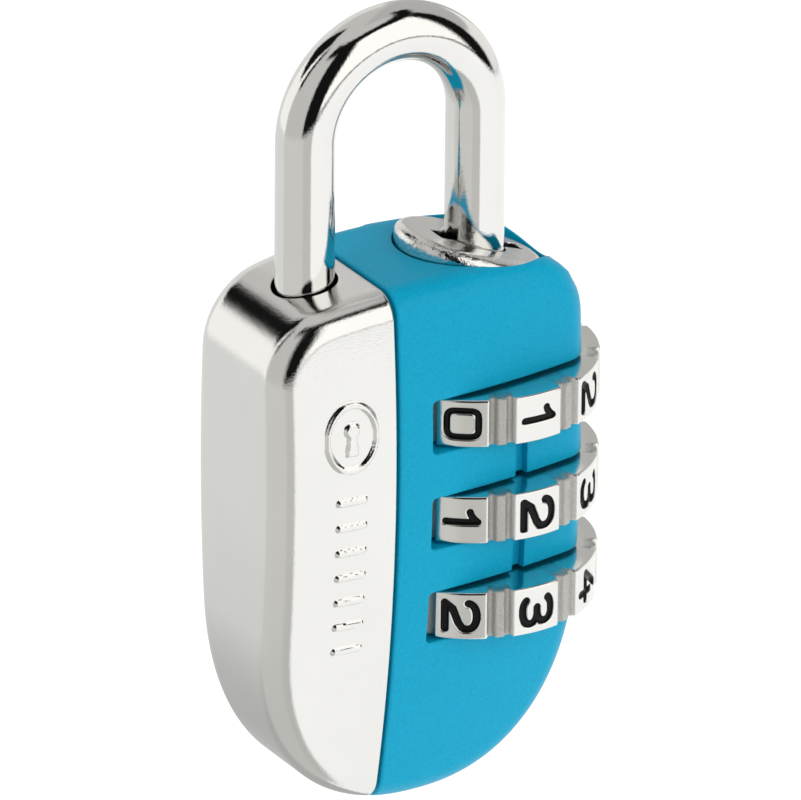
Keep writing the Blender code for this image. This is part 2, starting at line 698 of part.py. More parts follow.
def case_screw():
    """Hidden screw under the short leg, with a hexagon socket."""
    profile = [(0, SCREW_END), (SCREW_SHANK_R, SCREW_END), (SCREW_SHANK_R, SCREW_HEAD_END),
               (SCREW_HEAD_R, SCREW_HEAD_END), (SCREW_HEAD_R, SCREW_HEAD_TOP), (0, SCREW_HEAD_TOP)]
    screw = turned("case_screw", profile, (-LEG_X, 0, 0), 20)
    hexagon = [(x, y) for x, y, _ in circle(SCREW_SOCKET / 2 / cos(pi / 6), 0, count=6)]
    cut(screw, prism("cut_screw_socket", hexagon, SCREW_HEAD_TOP - SCREW_HEAD_H / 2,
                     SCREW_HEAD_TOP + 1, (-LEG_X, 0, 0)))
    return screw


def dowel(name, z):
    end = 0.2
    start, stop = SEAM_X - DOWEL_L / 2, SEAM_X + DOWEL_L / 2
    path = [(start, 0, z), (start + end, 0, z), (stop - end, 0, z), (stop, 0, z)]
    return swept(name, path, [DOWEL_R - end, DOWEL_R, DOWEL_R, DOWEL_R - end], 16)


def thrust_washer():
    profile = [(WASHER_BORE_R, WASHER_TOP - WASHER_T), (HUB_R, WASHER_TOP - WASHER_T),
               (HUB_R, WASHER_TOP), (WASHER_BORE_R, WASHER_TOP)]
    return turned("hub_thrust_washer", profile, (LEG_X, 0, 0), 32, hollow=True)


def build():
    clear_scene()
    chrome = finish("chrome_plate", (0.80, 0.79, 0.77), 0.08, 1)
    paint = finish("blue_paint", (0.0, 0.40, 0.65), 0.42, 0)
    nickel = finish("nickel_dial", (0.72, 0.71, 0.68), 0.22, 1)
    brass = finish("hub_brass", (0.78, 0.60, 0.28), 0.3, 1)
    steel = finish("spring_steel", (0.50, 0.50, 0.52), 0.3, 1)

    finished(chrome_half(), chrome)
    finished(painted_half(), paint)
    finished(keyhole_bushing(), chrome)
    finished(shackle(), chrome)
    finished(retaining_clip(), steel)

    dial, hub = dial_mesh(), hub_mesh()
    for i, level in enumerate(("top", "middle", "bottom")[:DIAL_COUNT]):
        axis = bpy.data.objects.new(f"axis_{level}", None)
        axis.location = Vector((LEG_X, 0, dial_top(i))) * MM
        bpy.context.scene.collection.objects.link(axis)
        bpy.context.view_layer.update()
        finished(placed(f"dial_{level}", dial, (LEG_X, 0, dial_top(i)), axis), nickel)
        finished(placed(f"clutch_hub_{level}", hub, (LEG_X, 0, dial_top(i) - HUB_END_GAP), axis), brass)
        underside = dial_top(i) - DIAL_T
        ball_z = underside - RUNNING - BALL_D / 2
        finished(detent_ball(f"detent_ball_{level}", (*DETENT_PLACE, ball_z)), steel, 60)
        bore_floor = underside - DIAL_SIDE_GAP - DETENT_BORE_DEPTH
        room = ball_z - BALL_D / 2 - bore_floor - 2 * RUNNING
        finished(coil(f"detent_spring_{level}", (BALL_D - DETENT_WIRE) / 2, DETENT_WIRE,
                      DETENT_TURNS, room, (*DETENT_PLACE, bore_floor + RUNNING), 5, 10), steel, 60)

    finished(thrust_washer(), steel)
    finished(coil("hub_return_spring", SPRING_R, SPRING_WIRE, SPRING_TURNS, SPRING_L,
                  (LEG_X, 0, SPRING_TOP - SPRING_L), 6, 16), steel, 60)
    finished(case_screw(), steel)
    for k, place in enumerate(("upper", "lower")):
        finished(dowel(f"dowel_pin_{place}", DOWEL_Z[k]), steel)


build()
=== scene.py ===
# %% [markdown]
# # A three-dial combination padlock
# The lock is about 56 mm tall: a chromed case half, a painted case half, a bent steel shackle, an
# oval bushing and three number dials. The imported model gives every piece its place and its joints.
# Here each visible piece gets its real surface and finish. Lengths are millimetres until a mesh is
# made, +Z is up, -Y is the front and +X runs from the chromed half to the painted half.

# %% Start
from math import acos, atan, cos, pi, radians, sin, sqrt

import bmesh
import bpy
import numpy as np
from mathutils import Matrix, Vector


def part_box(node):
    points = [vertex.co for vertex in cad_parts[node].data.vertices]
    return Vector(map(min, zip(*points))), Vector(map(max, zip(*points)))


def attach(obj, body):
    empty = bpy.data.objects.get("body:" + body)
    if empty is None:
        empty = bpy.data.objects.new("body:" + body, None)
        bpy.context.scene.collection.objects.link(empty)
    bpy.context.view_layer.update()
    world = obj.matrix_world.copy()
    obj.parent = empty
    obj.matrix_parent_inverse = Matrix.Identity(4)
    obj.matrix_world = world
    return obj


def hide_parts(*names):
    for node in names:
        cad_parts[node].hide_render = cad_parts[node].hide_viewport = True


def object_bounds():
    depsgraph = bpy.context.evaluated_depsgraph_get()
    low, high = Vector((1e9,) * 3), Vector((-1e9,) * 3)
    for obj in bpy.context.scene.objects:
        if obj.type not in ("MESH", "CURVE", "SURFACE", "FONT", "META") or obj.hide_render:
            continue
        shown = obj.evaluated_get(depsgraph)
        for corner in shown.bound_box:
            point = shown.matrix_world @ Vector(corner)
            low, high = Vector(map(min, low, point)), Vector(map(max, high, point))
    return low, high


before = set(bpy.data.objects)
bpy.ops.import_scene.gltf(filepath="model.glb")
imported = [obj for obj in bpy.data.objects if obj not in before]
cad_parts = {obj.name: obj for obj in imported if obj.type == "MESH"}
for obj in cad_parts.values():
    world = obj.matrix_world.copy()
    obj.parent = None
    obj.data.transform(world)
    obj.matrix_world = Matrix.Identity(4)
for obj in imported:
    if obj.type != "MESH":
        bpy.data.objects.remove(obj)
cad_low, cad_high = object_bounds()
MM = 0.001
print("CAD box in mm", [round(v / MM, 2) for v in (*cad_low, *cad_high)])

# %% [markdown]
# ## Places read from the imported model
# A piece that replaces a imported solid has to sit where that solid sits, so its place is measured
# from the solid's own box. The legs, the dials' heights and the case's outside follow from six
# boxes. A few depths inside the case are typed in.

# %% Places
def box_mm(node):
    """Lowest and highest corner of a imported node, in millimetres."""
    low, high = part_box(node)
    return np.array(low) / MM, np.array(high) / MM


wire_low, wire_high = box_mm("shackle")
painted_low, painted_high = box_mm("painted_case_half")
chrome_low, chrome_high = box_mm("chrome_case_half")
LEVELS = ("top", "middle", "bottom")
dial_boxes = {level: box_mm(f"dial_{level}") for level in LEVELS}
WIRE_R = (wire_high[1] - wire_low[1]) / 2
LEG_X = -wire_low[0] - WIRE_R
ARCH_Z = wire_high[2] - LEG_X - WIRE_R
CROWN_Z = round(painted_high[2], 2)
CASE_BOTTOM = painted_low[2]
CENTRE_X = (chrome_low[0] + painted_high[0]) / 2
HALF_W = (painted_high[0] - chrome_low[0]) / 2
SEAM_CHROME = chrome_high[0]
SEAM_GAP = 0.2
SEAM_PAINTED = SEAM_CHROME + SEAM_GAP
DIAL_TOPS = [dial_boxes[level][1][2] for level in LEVELS]
DIAL_T = DIAL_TOPS[0] - dial_boxes["top"][0][2]
print("leg", LEG_X, "wire", WIRE_R, "crown", CROWN_Z, "seam", SEAM_CHROME, "half width", HALF_W)
print("dial tops", DIAL_TOPS, "dial", DIAL_T)

# %% [markdown]
# ## A skin sewn from grids
# Every surface below is worked out as whole numpy arrays: a grid of points for each patch. Patches
# that meet share the same points along the meeting line, so joining points that lie on top of each
# other sews them into one closed skin. The count of open edges printed for each piece shows that no
# seam was missed.

# %% The skin helper
WELD = 1e-7                   # metres


class Skin:
    """Grids and loops of points in millimetres, sewn into one closed mesh."""

    def __init__(self):
        self.points, self.faces, self.marks, self.count = [], [], {}, 0

    def _add(self, points):
        start = self.count
        self.points.append(points.reshape(-1, 3))
        self.count += len(self.points[-1])
        return start

    def grid(self, points, keep=None):
        """A patch: rows by columns of points. keep is a mask of the cells that are wanted."""
        rows, cols = points.shape[:2]
        index = self._add(points) + np.arange(rows * cols).reshape(rows, cols)
        quads = np.stack([index[:-1, :-1], index[1:, :-1], index[1:, 1:], index[:-1, 1:]], -1)
        self.faces += (quads if keep is None else quads[keep]).reshape(-1, 4).tolist()

    def tube(self, rings):
        """A patch made of rings, each closed on itself."""
        rings = np.stack(rings)
        self.grid(np.concatenate([rings, rings[:, :1]], 1))

    def face(self, loop):
        """One flat face inside a loop of points."""
        start = self._add(loop)
        self.faces.append(list(range(start, start + len(loop))))

    def sewn(self, name, body, slot, finish, sharp=38):
        """The finished object: doubles joined, faces outwards, smooth up to an angle in degrees."""
        mesh = bpy.data.meshes.new(name)
        mesh.from_pydata((np.concatenate(self.points) * MM).tolist(), [], self.faces)
        for mark, values in self.marks.items():
            attribute = mesh.attributes.new(mark, "FLOAT", "POINT")
            attribute.data.foreach_set("value", np.concatenate(values).astype(np.float32))
        work = bmesh.new()
        work.from_mesh(mesh)
        bmesh.ops.remove_doubles(work, verts=work.verts, dist=WELD)
        bmesh.ops.recalc_face_normals(work, faces=work.faces)
        open_edges = sum(len(edge.link_faces) != 2 for edge in work.edges)
        work.to_mesh(mesh)
        work.free()
        piece = bpy.data.objects.new(name, mesh)
        bpy.context.scene.collection.objects.link(piece)
        mesh.materials.append(finish)
        mesh.shade_smooth()
        mesh.set_sharp_from_angle(angle=radians(sharp))
        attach(piece, body)
        print(name, len(mesh.vertices), "points", len(mesh.polygons), "faces",
              open_edges, "open edges")
        return piece


def ease(value, start, stop):
    """A smooth step: 0 before start, 1 after stop, and three t squared less two t cubed between."""
    t = np.clip((value - start) / (stop - start), 0, 1)
    return t * t * (3 - 2 * t)


# %% [markdown]
# ## The camera
# A small product is shot with a long lens from about a metre away, so upright edges stay upright.
# The camera stands to the front left and looks down. It is built from three axes: one to the right,
# one back towards the lens, and the one square to both, turned by half a degree of roll.

# %% Camera
AZIMUTH, ELEVATION, ROLL = radians(31.53), radians(25.0), radians(0.51)
DISTANCE, FIELD_WIDTH = 1000.0, 53.2579787      # to the lock, across the view
AIM_Z, AIM_RIGHT, AIM_UP = -30.26, 0.852, 5.09
level_right = np.array([cos(AZIMUTH), -sin(AZIMUTH), 0])
back = np.array([-sin(AZIMUTH) * cos(ELEVATION), -cos(AZIMUTH) * cos(ELEVATION), sin(ELEVATION)])
level_up = np.cross(back, level_right)
right = cos(ROLL) * level_right + sin(ROLL) * level_up
up = cos(ROLL) * level_up - sin(ROLL) * level_right
aim = np.array([0, 0, AIM_Z]) + AIM_RIGHT * right + AIM_UP * up
camera_data = bpy.data.cameras.new("camera")
camera_data.sensor_width = 36
camera_data.lens = DISTANCE * camera_data.sensor_width / FIELD_WIDTH
camera_data.clip_start, camera_data.clip_end = 0.05, 20
camera = bpy.data.objects.new("camera", camera_data)
turn = Matrix([[*row] for row in np.stack([right, up, back], 1)]).to_4x4()
camera.matrix_world = Matrix.Translation(Vector((aim + DISTANCE * back) * MM)) @ turn
bpy.context.scene.collection.objects.link(camera)
bpy.context.scene.camera = camera
print("camera at", [round(v, 3) for v in camera.matrix_world.translation], "lens", camera_data.lens)

# %% [markdown]
# ## Finishes as Python expressions
# A shader's maths reads best as an expression. The class below wraps one socket: its operators add
# Math nodes, and one method makes any other node. Numbers that don't change over a surface are set
# on the shader's own sockets.

# %% The wire helper
def operator(operation):
    """A method that adds one Math node, for a Python operator."""
    return lambda self, other: self.math(operation, self, other)


class Wire:
    """One socket of a node tree. Its operators add Math nodes, and make() adds any other node."""

    def __init__(self, tree, socket=None):
        self.tree, self.socket = tree, socket

    def make(self, kind, settings=None, inputs=None, output=0):
        """A node of a kind, its settings first, then its sockets' values or links."""
        node = self.tree.nodes.new("ShaderNode" + kind)
        for name, value in (settings or {}).items():
            if name == "stops":
                ramp = node.color_ramp.elements
                ramp[0].position, ramp[0].color = value[0][0], (*value[0][1], 1)
                ramp[-1].position, ramp[-1].color = value[-1][0], (*value[-1][1], 1)
                for place, colour in value[1:-1]:
                    ramp.new(place).color = (*colour, 1)
            else:
                setattr(node, name, value)
        for key, value in (inputs or {}).items():
            if isinstance(value, Wire):
                self.tree.links.new(value.socket, node.inputs[key])
            else:
                node.inputs[key].default_value = value
        return Wire(self.tree, node.outputs[output])

    def math(self, operation, first, second=0.0):
        return self.make("Math", {"operation": operation}, {0: first, 1: second})

    __add__, __mul__ = operator("ADD"), operator("MULTIPLY")
    __sub__, __truediv__ = operator("SUBTRACT"), operator("DIVIDE")

    def __rsub__(self, other):
        return self.math("SUBTRACT", other, self)

    __radd__, __rmul__ = __add__, __mul__

    def clamped(self):
        return self.make("Clamp", None, {"Value": self})

    def step(self, edge, width):
        """0 below an edge and 1 above it, over a width."""
        return ((self - edge) / width + 0.5).clamped()

    def blend(self, low, high):
        """A colour: low where this wire is 0, high where it is 1."""
        return self.make("Mix", {"data_type": "RGBA"}, {0: self, 6: low, 7: high}, 2)


def new_finish(name, **constants):
    """A Principled material with its constant sockets set, a wire to build with, and its shader."""
    finish = bpy.data.materials.new(name)
    finish.use_nodes = True
    shader = finish.node_tree.nodes["Principled BSDF"]
    for socket, value in constants.items():
        shader.inputs[socket.replace("_", " ")].default_value = value
    return finish, Wire(finish.node_tree), shader


def feed(shader, **wires):
    """Links wires to a shader's sockets by name."""
    for socket, wire in wires.items():
        wire.tree.links.new(wire.socket, shader.inputs[socket.replace("_", " ")])


def noise(shop, place, scale, detail=2.0, roughness=0.5):
    """A noise value on a place, at a scale counted per metre."""
    return shop.make("TexNoise", None, {"Vector": place, "Scale": scale, "Detail": detail,
                                        "Roughness": roughness})


def bump(shop, height, strength, depth):
    """A bump normal from a height, with its depth in metres."""
    return shop.make("Bump", None, {"Height": height, "Strength": strength, "Distance": depth})


# %% [markdown]
# ## The studio
# Bright metal has no colour of its own: it shows the room. The room is the world's background as a
# function of direction. It is a plain grey, with bright boxes and black ones laid over it at chosen
# bearings and heights, and one leaning black strip. The black ones draw the dark lines along each
# rounded edge. Three cards on the pale floor are seen in reflections only, and three soft lamps
# that no reflection shows light the paint.

# %% Room
scene = bpy.context.scene
scene.view_settings.view_transform = "Standard"
world = bpy.data.worlds.new("studio")
scene.world = world
world.use_nodes = True
room = Wire(world.node_tree)
direction = room.make("TexCoord")
flat = [room.make("SeparateXYZ", None, {0: direction}, axis) for axis in range(3)]
bearing = room.math("ARCTAN2", flat[1], flat[0]) * (180 / pi)
height = room.math("ARCSINE", flat[2]) * (180 / pi)


def between(value, start, stop, soft=1.5):
    """1 where a value lies in a range, in degrees, with soft ends."""
    return value.step(start, soft) * (1 - value.step(stop, soft))


def over(base, mask, level):
    """Lays a brightness over a base where the mask is 1."""
    return base * (1 - mask) + mask * level


BLACK = 0.008
BOXES = (                     # bearings, heights, brightness
    ((-12, 40), (-12, 12), 0.95), ((62, 112), (-12, 30), 0.82), ((106, 152), (-12, 46), 1.1),
    ((101, 140), (22, 58), BLACK), ((151, 162), (22, 57), BLACK),
    ((-138, -97), (-12, 62), BLACK), ((-168, 24), (52, 66), BLACK),
    ((-99, -28), (-12, 52), 1.25), ((-99, -28), (-11.5, -8.5), 0.04))
GREY, DIM_GREY = 0.62, 0.52
LEAN = 0.25                   # degrees of bearing for each degree of height
light = over(bearing * 0 + GREY, between(bearing, -12, 60, 6), DIM_GREY)
light = over(light, between(bearing, 60, 108, 6), GREY)
for (start, stop), (low, high), level in BOXES:
    light = over(light, between(bearing, start, stop) * between(height, low, high, 1.0), level)
leaning = bearing - height * LEAN
light = over(light, between(leaning, -40, -15) * between(height, -22, 52), BLACK)
backdrop = world.node_tree.nodes["Background"]
backdrop.inputs["Color"].default_value = (1.0, 0.985, 0.96, 1)
world.node_tree.links.new(light.socket, backdrop.inputs["Strength"])


LAMP_SIZE = 0.5
middle = tuple((np.array(cad_low) + np.array(cad_high)) / 2)


def lamp(name, place, watts):
    """A soft square lamp at a place, looking at the lock, that no reflection shows."""
    data = bpy.data.lights.new(name, "AREA")
    data.shape, data.size, data.energy = "SQUARE", LAMP_SIZE, watts
    thing = bpy.data.objects.new(name, data)
    way = Vector(middle) - Vector(place)
    facing = way.to_track_quat("-Z", "Y").to_matrix().to_4x4()
    thing.matrix_world = Matrix.Translation(place) @ facing
    thing.visible_glossy = False
    scene.collection.objects.link(thing)


lamp("key_lamp", (-0.15, -0.75, 0.45), 2.0)
lamp("fill_lamp", (0.6, -0.5, 0.3), 1.0)
lamp("top_lamp", (0.0, 0.1, 0.8), 1.6)


NEAR_REACH, NEAR_FADE = 0.15, 0.07      # metres


def flat_sheet(name, outline, z, colour, near, far):
    """A level sheet that glows: one colour near the lock, easing to another further out."""
    mesh = bpy.data.meshes.new(name)
    mesh.from_pydata([(x, y, z) for x, y in outline], [], [list(range(len(outline)))])
    finish, shop, shader = new_finish(name, Roughness=0.9, Emission_Strength=1.0)
    place = shop.make("TexCoord", output="Object")
    reach = shop.make("VectorMath", {"operation": "LENGTH"}, {0: place}, 1)
    grain = noise(shop, place, 40.0) * 0.02 + 0.99
    further = reach.step(NEAR_REACH, NEAR_FADE)
    feed(shader, Base_Color=grain.blend((0, 0, 0, 1), (*colour, 1)),
         Emission_Color=further.blend((*near, 1), (*far, 1)))
    mesh.materials.append(finish)
    sheet = bpy.data.objects.new(name, mesh)
    scene.collection.objects.link(sheet)
    return sheet


FLOOR_Z, FLOOR_R = cad_low[2] - 0.05, 0.45
circle = [(FLOOR_R * cos(t), FLOOR_R * sin(t)) for t in np.linspace(0, 2 * pi, 48, endpoint=False)]
flat_sheet("floor", circle, FLOOR_Z, (0.3, 0.3, 0.3), (0.83, 0.83, 0.83), (0.83, 0.83, 0.83))


def reflected_card(name, start, stop, near, far, lift):
    """A sector of floor, in degrees of bearing, that only reflections see."""
    fan = np.radians(np.linspace(start, stop, 24))
    arcs = ((0.004, fan), (FLOOR_R - 0.001, fan[::-1]))
    outline = [(r * cos(t), r * sin(t)) for r, turns in arcs for t in turns]
    card = flat_sheet(name, outline, FLOOR_Z + lift, (0.0, 0.0, 0.0), near, far)
    card.visible_camera = card.visible_diffuse = card.visible_shadow = False


reflected_card("pale_card", 50, 152, (0.46, 0.47, 0.46), (0.78, 0.785, 0.77), 0.001)
reflected_card("grey_card", 152, 229, (0.60, 0.60, 0.58), (0.68, 0.675, 0.65), 0.002)
reflected_card("deep_card", 229, 259, (0.55, 0.55, 0.53), (0.60, 0.595, 0.57), 0.003)

# %% [markdown]
# ## The finishes
# Chrome plate on a zinc casting is bright but never a perfect mirror: a fine orange peel breaks up
# the edges of what it reflects, and it is a touch duller on the broad faces. The paint is a satin
# lacquer with a fine grain. The dials are nickel: mirror-like on the facets, sandy in the grips,
# with black paint in the engraved digits. Brass and spring steel wait inside.

# %% Chrome plate
def chrome_finish(name, haze, grain, depth):
    """Chrome with a haze added to its roughness and a fine peel of a grain per metre."""
    finish, shop, shader = new_finish(name, Metallic=1.0)
    place = shop.make("TexCoord", output="Object")
    cloud = noise(shop, place, 160.0, 3.0)
    feed(shader,
         Base_Color=cloud.blend((0.82, 0.815, 0.80, 1), (0.765, 0.76, 0.74, 1)),
         Roughness=noise(shop, place, 900.0, 4.0) * 0.06 + haze,
         Normal=bump(shop, noise(shop, place, grain, 3.0, 0.65), 0.35, depth))
    return finish


case_chrome = chrome_finish("case_chrome", 0.025, 7000.0, 0.00003)
wire_chrome = chrome_finish("wire_chrome", 0.01, 7000.0, 0.000014)
bushing_chrome = chrome_finish("bushing_chrome", 0.05, 2600.0, 0.00018)
print("chrome finishes made")

# %% Blue lacquer
BLUES = [(0.3, (0.0, 0.31, 0.51)), (0.5, (0.0, 0.345, 0.56)), (0.72, (0.0, 0.39, 0.61))]
lacquer, shop, shader = new_finish("blue_lacquer", Specular_IOR_Level=0.16)
place = shop.make("TexCoord", output="Object")
speckle = noise(shop, place, 6500.0, 2.0, 0.7)
feed(shader,
     Base_Color=speckle.make("ValToRGB", {"stops": BLUES}, {0: speckle}),
     Roughness=noise(shop, place, 2500.0) * 0.12 + 0.34,
     Normal=bump(shop, speckle, 0.3, 0.00002))
print("lacquer made")

# %% Nickel with inked digits
nickel, shop, shader = new_finish("nickel_dial", Specular_IOR_Level=0.15)
place = shop.make("TexCoord", output="Object")
ink = 1 - shop.make("Attribute", {"attribute_name": "ink"}, output="Fac").step(0.0, 0.03)
grip = shop.make("Attribute", {"attribute_name": "grip"}, output="Fac").clamped()
sand = noise(shop, place, 9000.0, 3.0, 0.7)
bare = (grip * sand * 1.2).clamped().blend((0.80, 0.795, 0.77, 1), (0.45, 0.44, 0.41, 1))
feed(shader,
     Base_Color=ink.blend(bare, (0.004, 0.004, 0.004, 1)),
     Metallic=1 - ink,
     Roughness=over(noise(shop, place, 1200.0, 3.0) * 0.08 + 0.10 + grip * 0.18, ink, 0.22),
     Normal=bump(shop, sand * (grip * 0.95 + 0.05), 0.8, 0.00012))
print("nickel made")

# %% Brass and spring steel
def plain_metal(name, pale, deep, haze):
    """A turned metal with faint cloudy staining and fine tool marks round the upright axis."""
    finish, shop, shader = new_finish(name, Metallic=1.0)
    place = shop.make("TexCoord", output="Object")
    cloud = noise(shop, place, 700.0, 4.0)
    marks = noise(shop, shop.make("Mapping", None, {"Vector": place, "Scale": (1, 1, 14)}), 900.0)
    feed(shader, Base_Color=cloud.blend((*pale, 1), (*deep, 1)), Roughness=marks * 0.2 + haze,
         Normal=bump(shop, marks, 0.3, 0.00002))
    return finish


brass = plain_metal("hub_brass", (0.83, 0.65, 0.32), (0.66, 0.47, 0.20), 0.18)
steel = plain_metal("spring_steel", (0.62, 0.62, 0.63), (0.44, 0.44, 0.46), 0.18)
for name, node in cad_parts.items():
    chosen = brass if "hub_" in name and "clutch" in name else steel
    node.data.materials.clear()
    node.data.materials.append(chosen)
print("brass and steel made, on", len(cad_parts), "packed nodes")

# %% [markdown]
# ## The outline of the case
# Seen from the front the case is a pebble: a gently falling top, two round shoulders, straight
# sides and a bottom that is half a superellipse. A half's outline is laid down as one dense line
# from its seam at the top to its seam at the bottom, so any row of points can be read off it by its
# distance along the line. The faces are crowned both ways: their height is a formula of X and Z.

# %% Outline
CROWN_DROP = 1.44
SIDE_END_Z = CROWN_Z - 23.6
BOTTOM_POWER = 2.3
HALF_T = painted_high[1]
BELLY_Z = CROWN_Z - 13.1
RIM_R = 1.63
ROUNDED = 0.2                 # rounding of the seam's edges
CHROME_SHOULDER, PAINTED_SHOULDER = 5.1, 4.4
FALL_ALONG, FALL_LENGTH, FALL_ACROSS = 1.32, 18, 1.25
HOLE_LIP = 0.08               # rolled edge of the holes in the crown


def face_height(x, z):
    """Half thickness of the case: it falls with the squared distances along and across."""
    along = FALL_ALONG * ((z - BELLY_Z) / FALL_LENGTH) ** 2
    return HALF_T - along - FALL_ACROSS * ((x - CENTRE_X) / HALF_W) ** 2


def crown_line(x):
    """Height of the top: it falls with the square of the distance from the middle."""
    return CROWN_Z - CROWN_DROP * ((x - CENTRE_X) / HALF_W) ** 2


def half_outline(side, seam, shoulder):
    """A half's outline: the crown, a shoulder arc that leaves it smoothly, the side, the bottom."""
    edge = CENTRE_X + side * HALF_W
    hinge = edge - side * shoulder
    start = 0.0
    for _ in range(20):
        touch = hinge + side * shoulder * sin(start)
        start = atan(2 * CROWN_DROP * abs(touch - CENTRE_X) / HALF_W ** 2)
    centre_z = crown_line(touch) - shoulder * cos(start)
    x = np.linspace(seam, touch, 500)
    crown = np.stack([x, crown_line(x)], 1)
    t = np.linspace(start, pi / 2, 500)[1:]
    arc = np.stack([hinge + side * shoulder * np.sin(t), centre_z + shoulder * np.cos(t)], 1)
    level = side * (seam - CENTRE_X) / HALF_W
    end = acos(np.sign(level) * abs(level) ** (BOTTOM_POWER / 2))
    t = np.linspace(0, end, 3000)
    x = np.sign(np.cos(t)) * np.abs(np.cos(t)) ** (2 / BOTTOM_POWER)
    z = np.abs(np.sin(t)) ** (2 / BOTTOM_POWER)
    bottom = np.stack([CENTRE_X + side * HALF_W * x,
                       SIDE_END_Z + (CASE_BOTTOM - SIDE_END_Z) * z], 1)
    return np.concatenate([crown, arc, bottom])


def along_line(line):
    """Distance along a line of points, from its start."""
    return np.concatenate([[0], np.cumsum(np.linalg.norm(np.diff(line, axis=0), axis=1))])


def read_line(line, distances):
    """The points of a line at distances along it."""
    run = along_line(line)
    return np.stack([np.interp(distances, run, line[:, k]) for k in range(line.shape[1])], 1)


def inward_of(line, distances, side, fade=1.6):
    """Unit normals into the case; at the seam's ends they swing to straight down and up."""
    step = 0.05
    run = along_line(line)[-1]
    ahead = read_line(line, np.minimum(distances + step, run))
    behind = read_line(line, np.maximum(distances - step, 0))
    way = (ahead - behind) / np.linalg.norm(ahead - behind, axis=1)[:, None]
    normal = np.stack([way[:, 1] * side, -way[:, 0] * side], 1)
    normal[:, 0] *= ease(distances, 0, fade) * (1 - ease(distances, run - fade, run))
    return normal / np.linalg.norm(normal, axis=1)[:, None]


def wrap(outer, inner, seam_points, front, back, rim=12, band=36):
    """The outside of a half as one grid. Each row runs from the seam across the front face, round
    the rim, across the narrow side, round the other rim and back to the seam. front and back are
    the shares of the way from the seam to the rim at which a face has its columns. In the rims the
    depth below the face is the radius less its sine share, and the distance in from the side is
    the radius less its cosine share."""
    columns = []
    for shares in (front, back):
        face = seam_points[:, None] + (inner - seam_points)[:, None] * shares[None, :, None]
        columns.append((face[..., 0], face_height(face[..., 0], face[..., 1]), face[..., 1]))
    t = np.linspace(pi / 2, 0, rim + 1)[1:]
    rim_flat = outer[:, None] + (inner - outer)[:, None] * (1 - np.cos(t))[None, :, None]
    rim_y = face_height(rim_flat[..., 0], rim_flat[..., 1]) - RIM_R * (1 - np.sin(t))
    rim_part = (rim_flat[..., 0], rim_y, rim_flat[..., 1])
    share = np.linspace(-1, 1, band + 1)[1:-1]
    side = (np.repeat(outer[:, :1], band - 1, 1), rim_y[:, -1:] * share,
            np.repeat(outer[:, 1:], band - 1, 1))

    def facing(part, sign):
        return np.stack([part[0], sign * part[1], part[2]], -1)

    return np.concatenate([facing(columns[0], -1), facing(rim_part, -1), np.stack(side, -1),
                           facing(rim_part, 1)[:, ::-1], facing(columns[1], 1)[:, ::-1]], 1)


def seam_edge(skin, grid, seam, side):
    """Rolls the edge of a half into its flat seam face: a quarter round, then one face."""
    ring = np.concatenate([grid[:, 0], grid[-1, 1:], grid[-2::-1, -1], grid[0, -2:0:-1]])
    gap = np.linalg.norm(np.roll(ring, -1, 0) - ring, axis=1)
    ring = ring[gap > 1e-6]
    way = np.roll(ring, -1, 0) - np.roll(ring, 1, 0)
    normal = np.stack([-way[:, 2], way[:, 1]], 1)
    normal /= np.linalg.norm(normal, axis=1)[:, None]
    middle = ring.mean(0)[1:]
    if ((middle - ring[:, 1:]) * normal).sum() < 0:
        normal = -normal
    rolls = []
    for t in np.linspace(0, pi / 2, 5):
        roll = ring.copy()
        roll[:, 0] = seam + side * ROUNDED * (1 - sin(t))
        roll[:, 1:] += normal * ROUNDED * (1 - cos(t))
        rolls.append(roll)
    skin.tube(rolls)
    skin.face(rolls[-1])


def hole_ring(outer_loop, centre, towards):
    """Points of an oval, in plan from its centre, in the directions of a loop round it."""
    way = (outer_loop[:, :2] - centre) / towards
    return way / np.linalg.norm(way, axis=1)[:, None] * towards


def border(grid, top, bottom, left, right):
    """The points round a block of a grid, in order: along its top row, down, back and up."""
    return np.concatenate([grid[top, left:right], grid[top:bottom, right],
                           grid[bottom, right:left:-1], grid[bottom:top:-1, left]])


def sunk_hole(skin, loop, centre, radii, line, floor, lip):
    """A round or oval hole in the crown: the surface between a loop of the grid and the hole, a lip
    rolled over by a quarter round, the wall, and the floor. On the crown the height is read off the
    outline at each X, less the rounding's drop near the faces: the radius less the root of its
    square less the squared distance into the rounding."""
    upper = line[line[:, 1] > CROWN_Z - 5]
    upper = upper[np.argsort(upper[:, 0])]

    def crown_height(plan):
        level = np.interp(plan[:, 0], upper[:, 0], upper[:, 1])
        into = np.abs(plan[:, 1]) - face_height(plan[:, 0], level - RIM_R) + RIM_R
        return level - RIM_R + np.sqrt(RIM_R ** 2 - np.clip(into, 0, RIM_R) ** 2)

    radii = np.array(radii, float)
    unit = hole_ring(loop, centre, radii)
    rim = centre + unit * (1 + lip / radii.min())
    rings = []
    for share in np.array([0, 0.3, 0.55, 0.75, 0.9, 1.0]):
        plan = loop[:, :2] * (1 - share) + rim * share
        rings.append(np.column_stack([plan, crown_height(plan)]))
    rings[0] = loop
    for t in np.linspace(0, pi / 2, 5)[1:]:
        plan = centre + unit * (1 + lip / radii.min() * (1 - sin(t)))
        rings.append(np.column_stack([plan, rings[5][:, 2] - lip * (1 - cos(t))]))
    for share in (0.15, 0.4, 1.0):
        wall = rings[9].copy()
        wall[:, 2] += (floor - wall[:, 2]) * share
        rings.append(wall)
    skin.tube(rings)
    skin.face(rings[-1])


print("outline of", len(half_outline(-1, SEAM_CHROME - ROUNDED, CHROME_SHOULDER)), "points")

